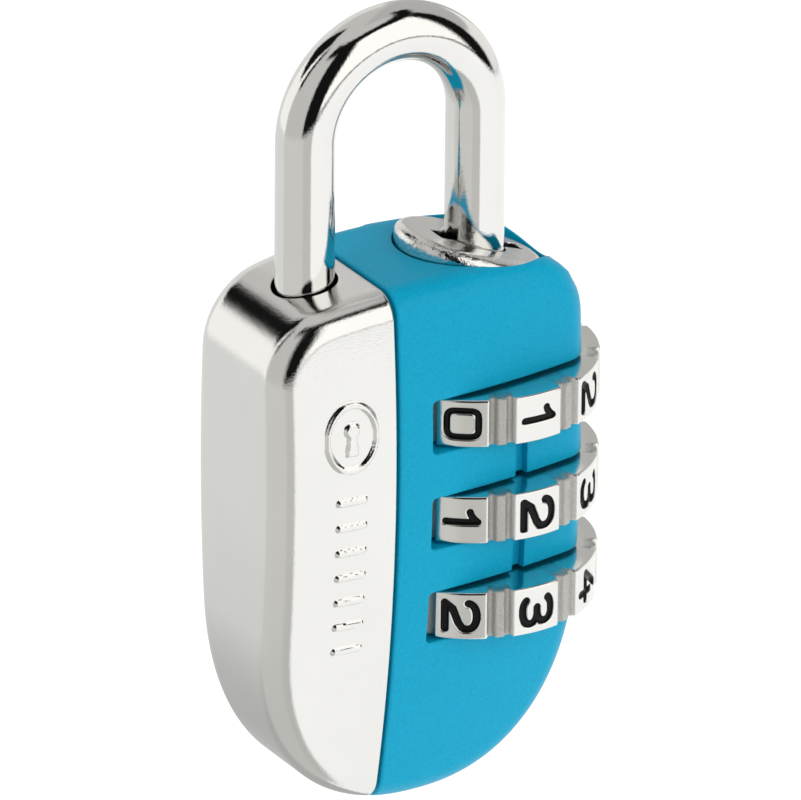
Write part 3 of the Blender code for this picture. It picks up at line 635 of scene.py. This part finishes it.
# %% [markdown]
# ## The chromed half
# One plated casting. Its skin is a single grid from the seam across the front, round the side and
# back to the seam, dense enough on the front to carry a raised mark. The mark is a plain one: an
# oval ring round a keyhole, over a ladder of short bars. It is a smooth plateau added to the face's
# height, so it is real relief. The short leg's hole is sewn into the crown, and the back has its
# shallow flat panel.

# %% Chromed half
MARK_X, MARK_Z, MARK_RELIEF = -6.55, -23.4, 0.18
PANEL_Z, PANEL_Y = -33.524, 5.011
PANEL_ACROSS, PANEL_ALONG = (2.58, 2.72), (6.4, 6.6)      # where its edge starts and ends
HOLE_GAP, HOLE_FLOOR_Z = 0.22, -21.8
HOLE_BLOCK = (-3.85, -9.4)    # X at the ends of the grid's gap for the hole


def plateau(distance, half_width, soft=0.1):
    """1 within a half width of a line, easing to 0 over a soft edge."""
    return 1 - ease(distance, half_width - soft, half_width + soft)


def mark_height(x, z):
    """Raised mark: ring, keyhole and seven bars, as the largest of their plateaus."""
    ring = np.abs(np.hypot((x - MARK_X) / 1.75, (z - MARK_Z) / 2.35) - 1) * 2.0
    bow = np.hypot(x - MARK_X, z - MARK_Z - 0.55)
    stem = np.maximum(np.abs(x - MARK_X) - 0.12 - 0.12 * (MARK_Z - z), 0)
    stem = np.hypot(stem, np.maximum(np.abs(z - MARK_Z + 0.35) - 0.75, 0))
    relief = np.maximum(plateau(ring, 0.17), np.maximum(plateau(bow, 0.5), plateau(stem, 0.16)))
    for k in range(7):
        bar_z = MARK_Z - 4.6 - 1.85 * k
        bar = np.hypot(np.maximum(np.abs(x - MARK_X) - 0.85, 0), z - bar_z)
        relief = np.maximum(relief, plateau(bar, 0.22))
    return MARK_RELIEF * relief


def chrome_half():
    """The chromed half's skin; its rows are evenly spaced along the outline."""
    seam = SEAM_CHROME - ROUNDED
    line = half_outline(-1, seam, CHROME_SHOULDER)
    run = along_line(line)[-1]
    distances = np.linspace(0, run, 401)
    outer = read_line(line, distances)
    inner = outer + RIM_R * inward_of(line, distances, -1)
    share = along_line(inner) / along_line(inner)[-1]
    seam_z = inner[0, 1] + (inner[-1, 1] - inner[0, 1]) * share
    seam_points = np.stack([np.full_like(seam_z, seam), seam_z], 1)
    front, back_shares = np.linspace(0, 1, 81), np.linspace(0, 1, 45)
    grid = wrap(outer, inner, seam_points, front, back_shares)
    face = grid[:, :len(front)]
    face[..., 1] -= mark_height(face[..., 0], face[..., 2])
    rear = grid[:, -len(back_shares):]
    panel_x = (CENTRE_X - HALF_W + RIM_R + (SEAM_CHROME + 0.1)) / 2
    inside = (1 - ease(np.abs(rear[..., 0] - panel_x), *PANEL_ACROSS)) * (
        1 - ease(np.abs(rear[..., 2] - PANEL_Z), *PANEL_ALONG))
    rear[..., 1] += (np.minimum(PANEL_Y, rear[..., 1]) - rear[..., 1]) * inside
    skin = Skin()
    top, bottom = (int(np.argmax(outer[:, 0] < x)) for x in HOLE_BLOCK)
    left = len(front) + 13
    right = grid.shape[1] - len(back_shares) - 14
    keep = np.ones((grid.shape[0] - 1, grid.shape[1] - 1), bool)
    keep[top:bottom, left:right] = False
    skin.grid(grid, keep)
    sunk_hole(skin, border(grid, top, bottom, left, right), np.array([-LEG_X, 0.0]),
              (WIRE_R + HOLE_GAP,) * 2, line, HOLE_FLOOR_Z, HOLE_LIP)
    seam_edge(skin, grid, SEAM_CHROME, -1)
    return skin.sewn("chrome_case_shell", "case", "chrome_plate", case_chrome)


chrome_shell = chrome_half()
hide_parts("chrome_case_half")

# %% [markdown]
# ## The painted half
# The same wrap, mirrored, with three long windows that run from the front face round the side to
# the back. A window's edge can't follow the grid's lines, because its corners are round, so a block
# of the grid is left out and each point of the block's border is drawn to the nearest point of the
# round window. From there a small quarter round leads inside, and the slot gets its floor, its
# ceiling and the wall behind the dial. The two webs between the dials carry an index groove, front
# and back.

# %% Painted half
WINDOW_LEFT = LEG_X - 7.05
SLOT_GAP = 0.2
WINDOW_CORNER, LIP = 0.35, 0.14
POCKET_R = 8.78
GROOVE_HALF, GROOVE_DEPTH = 0.45, 0.6
LEVEL_TOP, LEVEL_END = -20.9, -41.6     # the rows between these are level
SIDE_BAND = 1.5                         # how far in from the edge the side counts
SEAT_GAP, SEAT_FLOOR_Z = 0.11, -18.845
SEAT_BLOCK = (0.45, 12.15)    # X at the ends of the grid's gap for the seat
oval_low, oval_high = box_mm("keyhole_bushing")
OVAL_X = (oval_low[0] + oval_high[0]) / 2
OVAL_RADII = (oval_high[:2] - oval_low[:2]) / 2
SLOTS = [(top - DIAL_T - SLOT_GAP, top + SLOT_GAP) for top in DIAL_TOPS]


class Sheet:
    """The wrapped grid read as a surface: q runs round the case at a height, in millimetres."""

    def __init__(self, grid, straight, first, last):
        self.grid, self.straight = grid, straight
        self.rows = np.arange(first, last + 1)
        middle = straight[(first + last) // 2]
        self.q = along_line(middle[:, :2])
        self.z = straight[self.rows, 0, 2]

    def at(self, q, z, source=None):
        """Bilinear reading of the grid at (q, z)."""
        source = self.grid if source is None else source
        column = np.clip(np.interp(q, self.q, np.arange(len(self.q))), 0, len(self.q) - 1.001)
        row = self.rows[0] + np.interp(-z, -self.z, np.arange(len(self.z)))
        i, j = row.astype(int), column.astype(int)
        u, v = (row - i)[:, None], (column - j)[:, None]
        top = source[i, j] * (1 - v) + source[i, j + 1] * v
        low = source[i + 1, j] * (1 - v) + source[i + 1, j + 1] * v
        return top * (1 - u) + low * u

    def frame_at(self, q, z):
        """Level directions along the surface and out of it, from the grid without its grooves."""
        way = self.at(q + 0.08, z, self.straight) - self.at(q - 0.08, z, self.straight)
        way[:, 2] = 0
        way /= np.linalg.norm(way, axis=1)[:, None]
        return way, np.stack([way[:, 1], -way[:, 0], np.zeros(len(way))], 1)


def window(skin, sheet, keep, low, high):
    """Cuts one window out of the sheet and adds its lip and its slot."""
    length = sheet.q[-1]
    q_left = np.interp(WINDOW_LEFT, sheet.straight[sheet.rows[0], :60, 0], sheet.q[:60])
    core_q = (q_left + WINDOW_CORNER, length - q_left - WINDOW_CORNER)
    core_z = (low + WINDOW_CORNER, high - WINDOW_CORNER)
    left = int(np.argmax(sheet.q > core_q[0] - WINDOW_CORNER - LIP - 0.28)) - 1
    right = len(sheet.q) - 1 - left
    top = int(sheet.rows[0] + np.argmax(sheet.z < high + LIP + 0.22)) - 1
    bottom = int(sheet.rows[0] + np.argmax(sheet.z < low - LIP - 0.22))
    keep[top:bottom, left:right] = False
    loop = border(sheet.grid, top, bottom, left, right)
    q = np.concatenate([sheet.q[left:right], np.full(bottom - top, sheet.q[right]),
                        sheet.q[right:left:-1], np.full(bottom - top, sheet.q[left])])
    z = np.concatenate([np.full(right - left, sheet.straight[top, 0, 2]),
                        sheet.straight[top:bottom, 0, 2],
                        np.full(right - left, sheet.straight[bottom, 0, 2]),
                        sheet.straight[bottom:top:-1, 0, 2]])
    core = np.stack([np.clip(q, *core_q), np.clip(z, *core_z)], 1)
    out = np.stack([q, z], 1) - core
    out /= np.linalg.norm(out, axis=1)[:, None]
    edge = core + out * (WINDOW_CORNER + LIP)
    rings = [loop]
    for share in (0.5, 1.0):
        place = np.stack([q, z], 1) * (1 - share) + edge * share
        rings.append(sheet.at(place[:, 0], place[:, 1]))
    way, normal = sheet.frame_at(edge[:, 0], edge[:, 1])
    inward = -out[:, :1] * way - out[:, 1:] * np.array([0, 0, 1.0])
    start = rings[-1]
    for t in np.linspace(0, pi / 2, 5)[1:]:
        rings.append(start + inward * LIP * sin(t) - normal * LIP * (1 - cos(t)))
    skin.tube(rings)
    slot_walls(skin, rings[-1], out)


def slot_walls(skin, rim, out):
    """The wall behind the dial, carried from the front end of the window round the pocket to the
    back end with the window's own rounded profile, then the ceiling and the floor."""
    ceiling = np.flatnonzero(out[:, 1] > 1 - 1e-9)
    floor = np.flatnonzero(out[:, 1] < -1 + 1e-9)
    far = rim[ceiling[-1]:floor[0] + 1]
    near = np.concatenate([rim[floor[-1]:], rim[:ceiling[0] + 1]])[::-1]
    meet = sqrt(POCKET_R ** 2 - (LEG_X - WINDOW_LEFT) ** 2)
    reach = np.arcsin(meet / POCKET_R)
    angles = np.linspace(pi + reach, pi - reach, 17)
    pocket = np.stack([LEG_X + POCKET_R * np.cos(angles), POCKET_R * np.sin(angles)], 1)
    ahead = np.linspace(near[:, 1].max() + 0.15, -meet, 4)[:-1]
    lead = np.stack([np.full(3, WINDOW_LEFT), ahead], 1)
    path = np.concatenate([lead, pocket, lead[::-1] * (1, -1)])
    step = np.gradient(path, axis=0)
    step /= np.linalg.norm(step, axis=1)[:, None]
    wall = np.empty((len(path), len(near), 3))
    swell = near[:, 0] - WINDOW_LEFT
    wall[..., 0] = path[:, :1] + step[:, 1:] * swell
    wall[..., 1] = path[:, 1:] - step[:, :1] * swell
    wall[..., 2] = near[:, 2]
    wall = np.concatenate([near[None], wall, far[None]])
    skin.grid(wall)
    skin.face(np.concatenate([rim[ceiling[0]:ceiling[-1] + 1], wall[-2:0:-1, 0]]))
    skin.face(np.concatenate([rim[floor[0]:floor[-1] + 1], wall[1:-1, -1]]))


def painted_half():
    """The painted half's skin: rows are level from above the first window to below the last."""
    seam = SEAM_PAINTED + ROUNDED
    line = half_outline(1, seam, PAINTED_SHOULDER)
    run = along_line(line)
    edge_x = CENTRE_X + HALF_W
    down = line[:, 0] > edge_x - SIDE_BAND
    depths, depth_run = -line[down, 1], run[down]
    first = np.interp(-LEVEL_TOP, depths, depth_run)
    last = np.interp(-LEVEL_END, depths, depth_run)
    levels = np.linspace(-LEVEL_TOP, -LEVEL_END, 116)
    distances = np.concatenate([np.linspace(0, first, 111)[:-1],
                                np.interp(levels, depths, depth_run),
                                np.linspace(last, run[-1], 126)[1:]])
    outer = read_line(line, distances)
    inward = inward_of(line, distances, 1)
    swing = ease(-outer[:, 1], -LEVEL_END, -LEVEL_END + 2.5) + ease(outer[:, 1], LEVEL_TOP, -19.2)
    rows = np.arange(len(outer))
    beside = outer[:, 0] > edge_x - SIDE_BAND
    swing = np.where((rows > 115) & (rows < 220) | beside, np.minimum(swing, 1), 1)[:, None]
    level_inward = inward * swing + np.array([-1.0, 0]) * (1 - swing)
    inward = np.where(swing < 1, level_inward, inward)
    inward /= np.linalg.norm(inward, axis=1)[:, None]
    inner = outer + RIM_R * inward
    level = (outer[:, 1] <= LEVEL_TOP + 1e-6) & (outer[:, 1] >= LEVEL_END - 1e-6) & beside
    top_row, end_row = int(np.argmax(level)), len(level) - 1 - int(np.argmax(level[::-1]))
    seam_z = outer[:, 1].copy()
    share = along_line(inner[:top_row + 1])
    seam_z[:top_row + 1] = inner[0, 1] + (seam_z[top_row] - inner[0, 1]) * share / share[-1]
    share = along_line(inner[end_row:])
    seam_z[end_row:] = seam_z[end_row] + (inner[-1, 1] - seam_z[end_row]) * share / share[-1]
    seam_points = np.stack([np.full_like(seam_z, seam), seam_z], 1)
    width = edge_x - RIM_R - seam
    groove = (LEG_X - seam) / width
    extra = groove + np.array([-0.6, -0.49, -0.42, -0.3, 0, 0.3, 0.42, 0.49, 0.6]) / width
    shares = np.linspace(0, 1, 53)
    shares = np.sort(np.concatenate([shares[np.abs(shares - groove) > 0.68 / width], extra]))
    grid = wrap(outer, inner, seam_points, shares, shares)
    straight = grid.copy()
    web = np.zeros(len(grid))
    for (low, _), (_, high) in zip(SLOTS, SLOTS[1:]):
        web = np.maximum(web, (outer[:, 1] < low + 0.1) & (outer[:, 1] > high - 0.1) & level)
    count = len(shares)
    for face, sign in ((grid[:, :count], 1), (grid[:, -count:], -1)):
        sink = 1 - ease(np.abs(face[..., 0] - LEG_X), GROOVE_HALF - 0.04, GROOVE_HALF + 0.05)
        face[..., 1] += sign * GROOVE_DEPTH * sink * web[:, None]
    skin = Skin()
    keep = np.ones((grid.shape[0] - 1, grid.shape[1] - 1), bool)
    sheet = Sheet(grid, straight, top_row, end_row)
    for low, high in SLOTS:
        window(skin, sheet, keep, low, high)
    top, bottom = (int(np.argmax(outer[:, 0] > x)) for x in SEAT_BLOCK)
    left, right = count + 3, grid.shape[1] - count - 4
    keep[top:bottom, left:right] = False
    skin.grid(grid, keep)
    sunk_hole(skin, border(grid, top, bottom, left, right), np.array([OVAL_X, 0.0]),
              OVAL_RADII + SEAT_GAP, line, SEAT_FLOOR_Z, HOLE_LIP)
    seam_edge(skin, grid, SEAM_PAINTED, 1)
    return skin.sewn("painted_case_shell", "case", "blue_paint", lacquer)


painted_shell = painted_half()
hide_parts("painted_case_half")

# %% [markdown]
# ## The bushing
# An oval plated insert with a tilted top and a keyhole: the leg's round hole, a slot to the left
# for the leg's fins and a narrower reset keyway to the right. It is one closed surface: a profile
# that changes with the angle round the leg, out along the wall, over a rounded edge, across the top
# and down the keyhole, then round the skirt below.

# %% Bushing
BUSHING_SLOPE, BUSHING_DROP = np.tan(radians(20.3)), 0.44   # its top: slope, depth at the leg
KEYHOLE_Z = -18.725                     # where the keyhole ends and the skirt begins
SKIRT_R, SKIRT_BORE_R = 3.7, 2.95
EDGE_IN, EDGE_DOWN, KEYHOLE_LIP = 0.85, 1.0, 0.12


def ray_to_oval(angle, offset, radii):
    """Distance from the leg's axis to an oval whose centre lies at an offset along X."""
    c, s = np.cos(angle) / radii[0], np.sin(angle) / radii[1]
    k = -offset / radii[0]
    a, b = c * c + s * s, c * k
    return (-b + np.sqrt(b * b - a * (k * k - 1))) / a


def ray_to_slot(angle, way, half_width, reach):
    """Distance from the axis to the edge of a straight slot that points one way along X."""
    c, s = way * np.cos(angle), np.abs(np.sin(angle))
    across = half_width / np.maximum(s, 1e-6)
    end = reach / np.maximum(c, 1e-6)
    return np.where(c > 0, np.minimum(across, end), 0)


def bushing():
    """The bushing's rings, from the skirt's foot up the outside and back down the keyhole."""
    skirt_low = oval_low[2]
    angle = np.sort(np.concatenate([np.linspace(0, 2 * pi, 240, endpoint=False),
                                    pi + np.array([-0.28, -0.27, -0.265, 0.265, 0.27, 0.28]),
                                    np.array([0.17, 0.175, 0.28, 2 * pi - 0.28, 2 * pi - 0.175])]))
    wall = ray_to_oval(angle, OVAL_X - LEG_X, OVAL_RADII)
    hole = np.maximum(WIRE_R + 0.1, np.maximum(ray_to_slot(angle, -1, 0.8, 2.91),
                                               ray_to_slot(angle, 1, 0.6, 3.5)))

    def ring(radius, drop):
        x, top = radius * np.cos(angle), CROWN_Z - BUSHING_DROP
        return np.stack([LEG_X + x, radius * np.sin(angle), top - BUSHING_SLOPE * x - drop], 1)

    def level(radius, z):
        x, y = radius * np.cos(angle), radius * np.sin(angle)
        return np.stack([LEG_X + x, y, np.full_like(angle, z)], 1)

    rings = [level(SKIRT_R, skirt_low), level(SKIRT_R, KEYHOLE_Z), level(wall, KEYHOLE_Z)]
    for t in np.linspace(0, pi / 2, 8):
        rings.append(ring(wall - EDGE_IN * (1 - cos(t)), EDGE_DOWN * (1 - sin(t))))
    for share in (0.15, 0.5, 0.85):
        rings.append(ring((wall - EDGE_IN) * (1 - share) + (hole + KEYHOLE_LIP) * share, 0))
    for t in np.linspace(0, pi / 2, 5):
        rings.append(ring(hole + KEYHOLE_LIP * (1 - sin(t)), KEYHOLE_LIP * (1 - cos(t))))
    rings += [level(hole, KEYHOLE_Z), level(SKIRT_BORE_R, KEYHOLE_Z),
              level(SKIRT_BORE_R, skirt_low)]
    skin = Skin()
    skin.tube(rings + rings[:1])
    return skin.sewn("keyhole_insert", "case", "chrome_plate", bushing_chrome)


insert = bushing()
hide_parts("keyhole_bushing")

# %% [markdown]
# ## The shackle
# One bent wire. Its centreline goes up the short leg, over a half circle and down the long leg, and
# a circle is carried along it. Near the foot of the long leg the radius steps in for the retaining
# clip. Three small fins stand out from the long leg inside the case.

# %% Shackle
SHORT_LEG_DEPTH, CHAMFER = 5.6, 0.5
GROOVE_R, CLIP_GAP = 1.4, 0.1
FIN_DROP = 4.725              # from a dial's top to the middle of its fin


def wire_skin():
    """Rings round the centreline: the place on it, the local way out, the radius at each step."""
    low = wire_low[2]
    clip_low, clip_high = (corner[2] for corner in box_mm("leg_retaining_clip"))
    clip_low, clip_high = clip_low - CLIP_GAP, clip_high + CLIP_GAP
    short_end = CROWN_Z - CROWN_DROP * ((LEG_X + CENTRE_X) / HALF_W) ** 2 - SHORT_LEG_DEPTH
    steps = [(-LEG_X, short_end, WIRE_R - CHAMFER), (-LEG_X, short_end + CHAMFER, WIRE_R)]
    steps += [(-LEG_X, z, WIRE_R) for z in np.linspace(short_end + 1, ARCH_Z, 9)[:-1]]
    steps += [(-LEG_X * cos(t), ARCH_Z + LEG_X * sin(t), WIRE_R) for t in np.linspace(0, pi, 97)]
    steps += [(LEG_X, z, WIRE_R) for z in np.linspace(ARCH_Z, clip_high, 13)[1:]]
    steps += [(LEG_X, clip_high, GROOVE_R), (LEG_X, clip_low, GROOVE_R), (LEG_X, clip_low, WIRE_R),
              (LEG_X, low + CHAMFER, WIRE_R), (LEG_X, low, WIRE_R - CHAMFER)]
    steps = np.array(steps)
    x, z, radius = steps.T
    out_x = np.where(z > ARCH_Z, x / LEG_X, np.sign(x))
    out_z = np.where(z > ARCH_Z, (z - ARCH_Z) / LEG_X, 0)
    angle = np.linspace(0, 2 * pi, 80, endpoint=False)
    rings = np.stack([x[:, None] + np.outer(radius * out_x, np.cos(angle)),
                      np.outer(radius, np.sin(angle)),
                      z[:, None] + np.outer(radius * out_z, np.cos(angle))], -1)
    skin = Skin()
    skin.tube(rings)
    skin.face(rings[0])
    skin.face(rings[-1])
    return skin


def fin_block(skin, middle_z, reach=2.8, width=1.3, tall=2.2, inside=1.5, corner=0.12):
    """One fin: a block from inside the wire outwards, with its outer edges bevelled."""
    y = np.array([-1, -1, 1, 1]) * width / 2
    z = np.array([-1, 1, 1, -1]) * tall / 2
    loops = []
    for distance, shrink in ((inside, 0), (reach - corner, 0), (reach, corner)):
        loops.append(np.stack([np.full(4, LEG_X - distance), y - np.sign(y) * shrink,
                               middle_z + z - np.sign(z) * shrink], 1))
    skin.tube(loops)
    skin.face(loops[0])
    skin.face(loops[-1])


bow_skin = wire_skin()
for top in DIAL_TOPS:
    fin_block(bow_skin, top - FIN_DROP)
bow = bow_skin.sewn("shackle_wire", "shackle", "chrome_plate", wire_chrome)
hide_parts("shackle")

# %% [markdown]
# ## The digits
# The digits lie on their sides: each one's top points the way the dial's count runs. They are drawn
# as strokes, a digit being a few lines and arcs, and the distance from a point to the nearest
# stroke says how deep it is cut and whether it is inked. The zero is a superellipse of a high
# power.

# %% Digit strokes
W, H = 0.95, 1.08                   # half the width and the height of a digit
STROKE_HALF = 0.28
THINNER = {0: 0.23, 1: 0.25}        # half widths of the strokes that differ


def bend(cx, cy, rx, ry, start, stop, power=2.0, steps=22):
    """An arc of a superellipse, its angles in degrees, as points."""
    t = np.radians(np.linspace(start, stop, steps))
    c, s = np.cos(t), np.sin(t)
    return [(cx + rx * np.sign(a) * abs(a) ** (2 / power),
             cy + ry * np.sign(b) * abs(b) ** (2 / power)) for a, b in zip(c, s)]


STROKES = {
    0: [bend(0, 0, W, H, 0, 360, 4.5, 61)],
    1: [[(0.12, -H), (0.12, H)], [(0.12, H), (-0.12, 0.82), (-0.42, 0.62), (-0.62, 0.56)]],
    2: [bend(0, 0.42, W, 0.66, 172, -28, 2.2) + [(0.5, -0.15), (-0.55, -0.55), (-W, -H)],
        [(-W, -H), (W, -H)]],
    3: [bend(0.05, 0.54, 0.88, 0.54, 150, -82, 2.3) + [(-0.15, 0.0)],
        [(-0.15, 0.0)] + bend(0.05, -0.54, 0.92, 0.54, 82, -150, 2.3)],
    4: [[(0.3, H), (-W, -0.42), (W, -0.42)], [(0.42, 0.25), (0.42, -H)]],
    5: [[(W - 0.1, H), (-0.72, H), (-0.82, 0.12)], bend(0, -0.38, W, 0.7, 140, -150, 2.3)],
    6: [bend(0, -0.42, W, 0.66, 0, 360, 2.4, 41),
        [(-W, -0.42), (-0.8, 0.35), (-0.3, 0.9), (0.45, H)]],
    7: [[(-W, H), (W, H), (0.1, -0.2), (-0.3, -H)]],
    8: [bend(0, 0.54, 0.8, 0.54, 0, 360, 2.3, 41), bend(0, -0.54, W, 0.54, 0, 360, 2.3, 41)],
    9: [bend(0, 0.42, W, 0.66, 0, 360, 2.4, 41),
        [(W, 0.42), (0.8, -0.35), (0.3, -0.9), (-0.45, -H)]],
}


def stroke_distance(digit, across, upwards):
    """Distance in millimetres to the edge of a digit's strokes, less than 0 inside them."""
    nearest = np.full(across.shape, 9.0)
    for stroke in STROKES[digit]:
        for (x0, y0), (x1, y1) in zip(stroke, stroke[1:]):
            span = max((x1 - x0) ** 2 + (y1 - y0) ** 2, 1e-12)
            t = np.clip(((across - x0) * (x1 - x0) + (upwards - y0) * (y1 - y0)) / span, 0, 1)
            gap_x, gap_y = across - x0 - t * (x1 - x0), upwards - y0 - t * (y1 - y0)
            nearest = np.minimum(nearest, np.hypot(gap_x, gap_y))
    return nearest - THINNER.get(digit, STROKE_HALF)


print("digits drawn:", len(STROKES))

# %% [markdown]
# ## The dials
# Ten smooth facets with ten sandy grips between them. A facet keeps one radius. At its edge the
# radius eases down into the grip, which has a broad rib along its middle and a random grain of some
# thousandths of a millimetre. The digits are cut into the facets as real engraving. Below, ten
# shallow dimples take the detent ball.

# %% Dials
FACET_R = 8.5
GRIP_VALLEY, GRIP_RIB = 8.1, 0.28
EDGE = 0.16
BORE_R = 3.8
FACET_END, GRIP_START, GRIP_END, NEXT_FACET = 11.4, 13.4, 22.6, 24.6    # degrees
DIGIT_DEPTH, GRAIN = 0.22, 0.007
DIMPLE_PLACE, DIMPLE_R, DIMPLE_DEPTH = 6.3, 0.6, 0.35


def dial_rim():
    """For the columns of one facet and its grip: the angle from the facet's middle, the angle from
    the nearest facet's middle, the radius and the share of grip."""
    facet = np.linspace(-FACET_END, FACET_END, 55)
    flank = np.linspace(FACET_END, GRIP_START, 8)[1:]
    hollow = np.linspace(GRIP_START, GRIP_END, 22)[1:]
    second = np.linspace(GRIP_END, NEXT_FACET, 8)[1:-1]
    angle = np.radians(np.concatenate([facet, flank, hollow, second]))
    turn = (angle + pi / 10) % (pi / 5) - pi / 10
    off = np.degrees(np.abs(turn))
    valley = GRIP_VALLEY + GRIP_RIB * (1 - ease(18 - off, 1.6, 3.6))
    share = ease(off, 11.5, 13.2)
    return angle, turn, FACET_R * (1 - share) + valley * share, ease(off, 12.0, 12.9)


def dial_skin(level, front_digit):
    """One dial as a closed skin, with its marks for the paint and the grain."""
    rng = np.random.default_rng(40 + front_digit)
    box_low, box_high = dial_boxes[level]
    low, high = box_low[2], box_high[2]
    middle_z = (low + high) / 2
    angle, turn, radius, grip = dial_rim()
    columns = len(angle)
    heights = np.linspace(low + EDGE, high - EDGE, 53)
    radii = np.tile(radius, (len(heights), 10))
    ink = np.full((len(heights), 10 * columns), 1.0)
    for k in range(10):
        digit = (front_digit + k) % 10
        span = slice(k * columns, k * columns + columns)
        across = np.broadcast_to(-(heights - middle_z)[:, None], (len(heights), columns))
        upwards = np.broadcast_to(turn * FACET_R, across.shape)
        distance = np.where(grip > 0.01, 1.0, stroke_distance(digit, across, upwards))
        ink[:, span] = distance
    radii -= DIGIT_DEPTH * (1 - ease(ink, -0.13, 0.04))
    grips = np.tile(grip, 10)
    grain = rng.normal(0, GRAIN, radii.shape)
    grain[[0, -1]] = 0
    radii += grain * grips
    around = -pi / 2 + np.concatenate([angle + k * pi / 5 for k in range(10)])

    def ring(r, z):
        r, z = np.broadcast_to(r, around.shape), np.broadcast_to(z, around.shape)
        return np.stack([LEG_X + r * np.cos(around), r * np.sin(around), z], -1)

    rim = np.tile(radius, 10)
    rows = [ring(BORE_R, low)]
    for r in np.linspace(4.4, 7.6, 21):
        x, y = LEG_X + r * np.cos(around), r * np.sin(around)
        dent = np.full(around.shape, 9.0)
        for k in range(10):
            place_x, place_y = DIMPLE_PLACE * cos(k * pi / 5), DIMPLE_PLACE * sin(k * pi / 5)
            dent = np.minimum(dent, np.hypot(x - LEG_X + place_x, y - place_y))
        hollow = np.sqrt(np.clip(1 - (dent / DIMPLE_R) ** 2, 0, 1))
        rows.append(ring(r, low + DIMPLE_DEPTH * hollow))
    for t in np.linspace(pi / 2, 0, 5)[:-1]:
        rows.append(ring(rim - EDGE * (1 - cos(t)), low + EDGE * (1 - sin(t))))
    rows += [ring(radii[i], heights[i]) for i in range(len(heights))]
    for t in np.linspace(0, pi / 2, 5)[1:]:
        rows.append(ring(rim - EDGE * (1 - cos(t)), high - EDGE * (1 - sin(t))))
    rows += [ring(r, high) for r in (7.4, 6.5, 5.0, BORE_R)]
    rows.append(rows[0])
    skin = Skin()
    skin.tube(rows)
    before = 1 + 21 + 4           # the bore's row, the lower face's and the lower edge's
    after = len(rows) - before - len(heights)
    marks = {"ink": np.pad(ink, ((before, after), (0, 0)), constant_values=1.0),
             "grip": np.tile(grips, (len(rows), 1))}
    marks["grip"][:before - 4] *= 0.15
    marks["grip"][before + len(heights) + 4:] *= 0.15
    skin.marks = {mark: [np.concatenate([v, v[:, :1]], 1).reshape(-1)] for mark, v in marks.items()}
    return skin


for front_digit, level in enumerate(LEVELS, 1):
    dial = dial_skin(level, front_digit).sewn(
        f"{level}_number_dial", f"{level}_dial", "nickel_dial", nickel, sharp=50)
    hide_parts(f"dial_{level}")
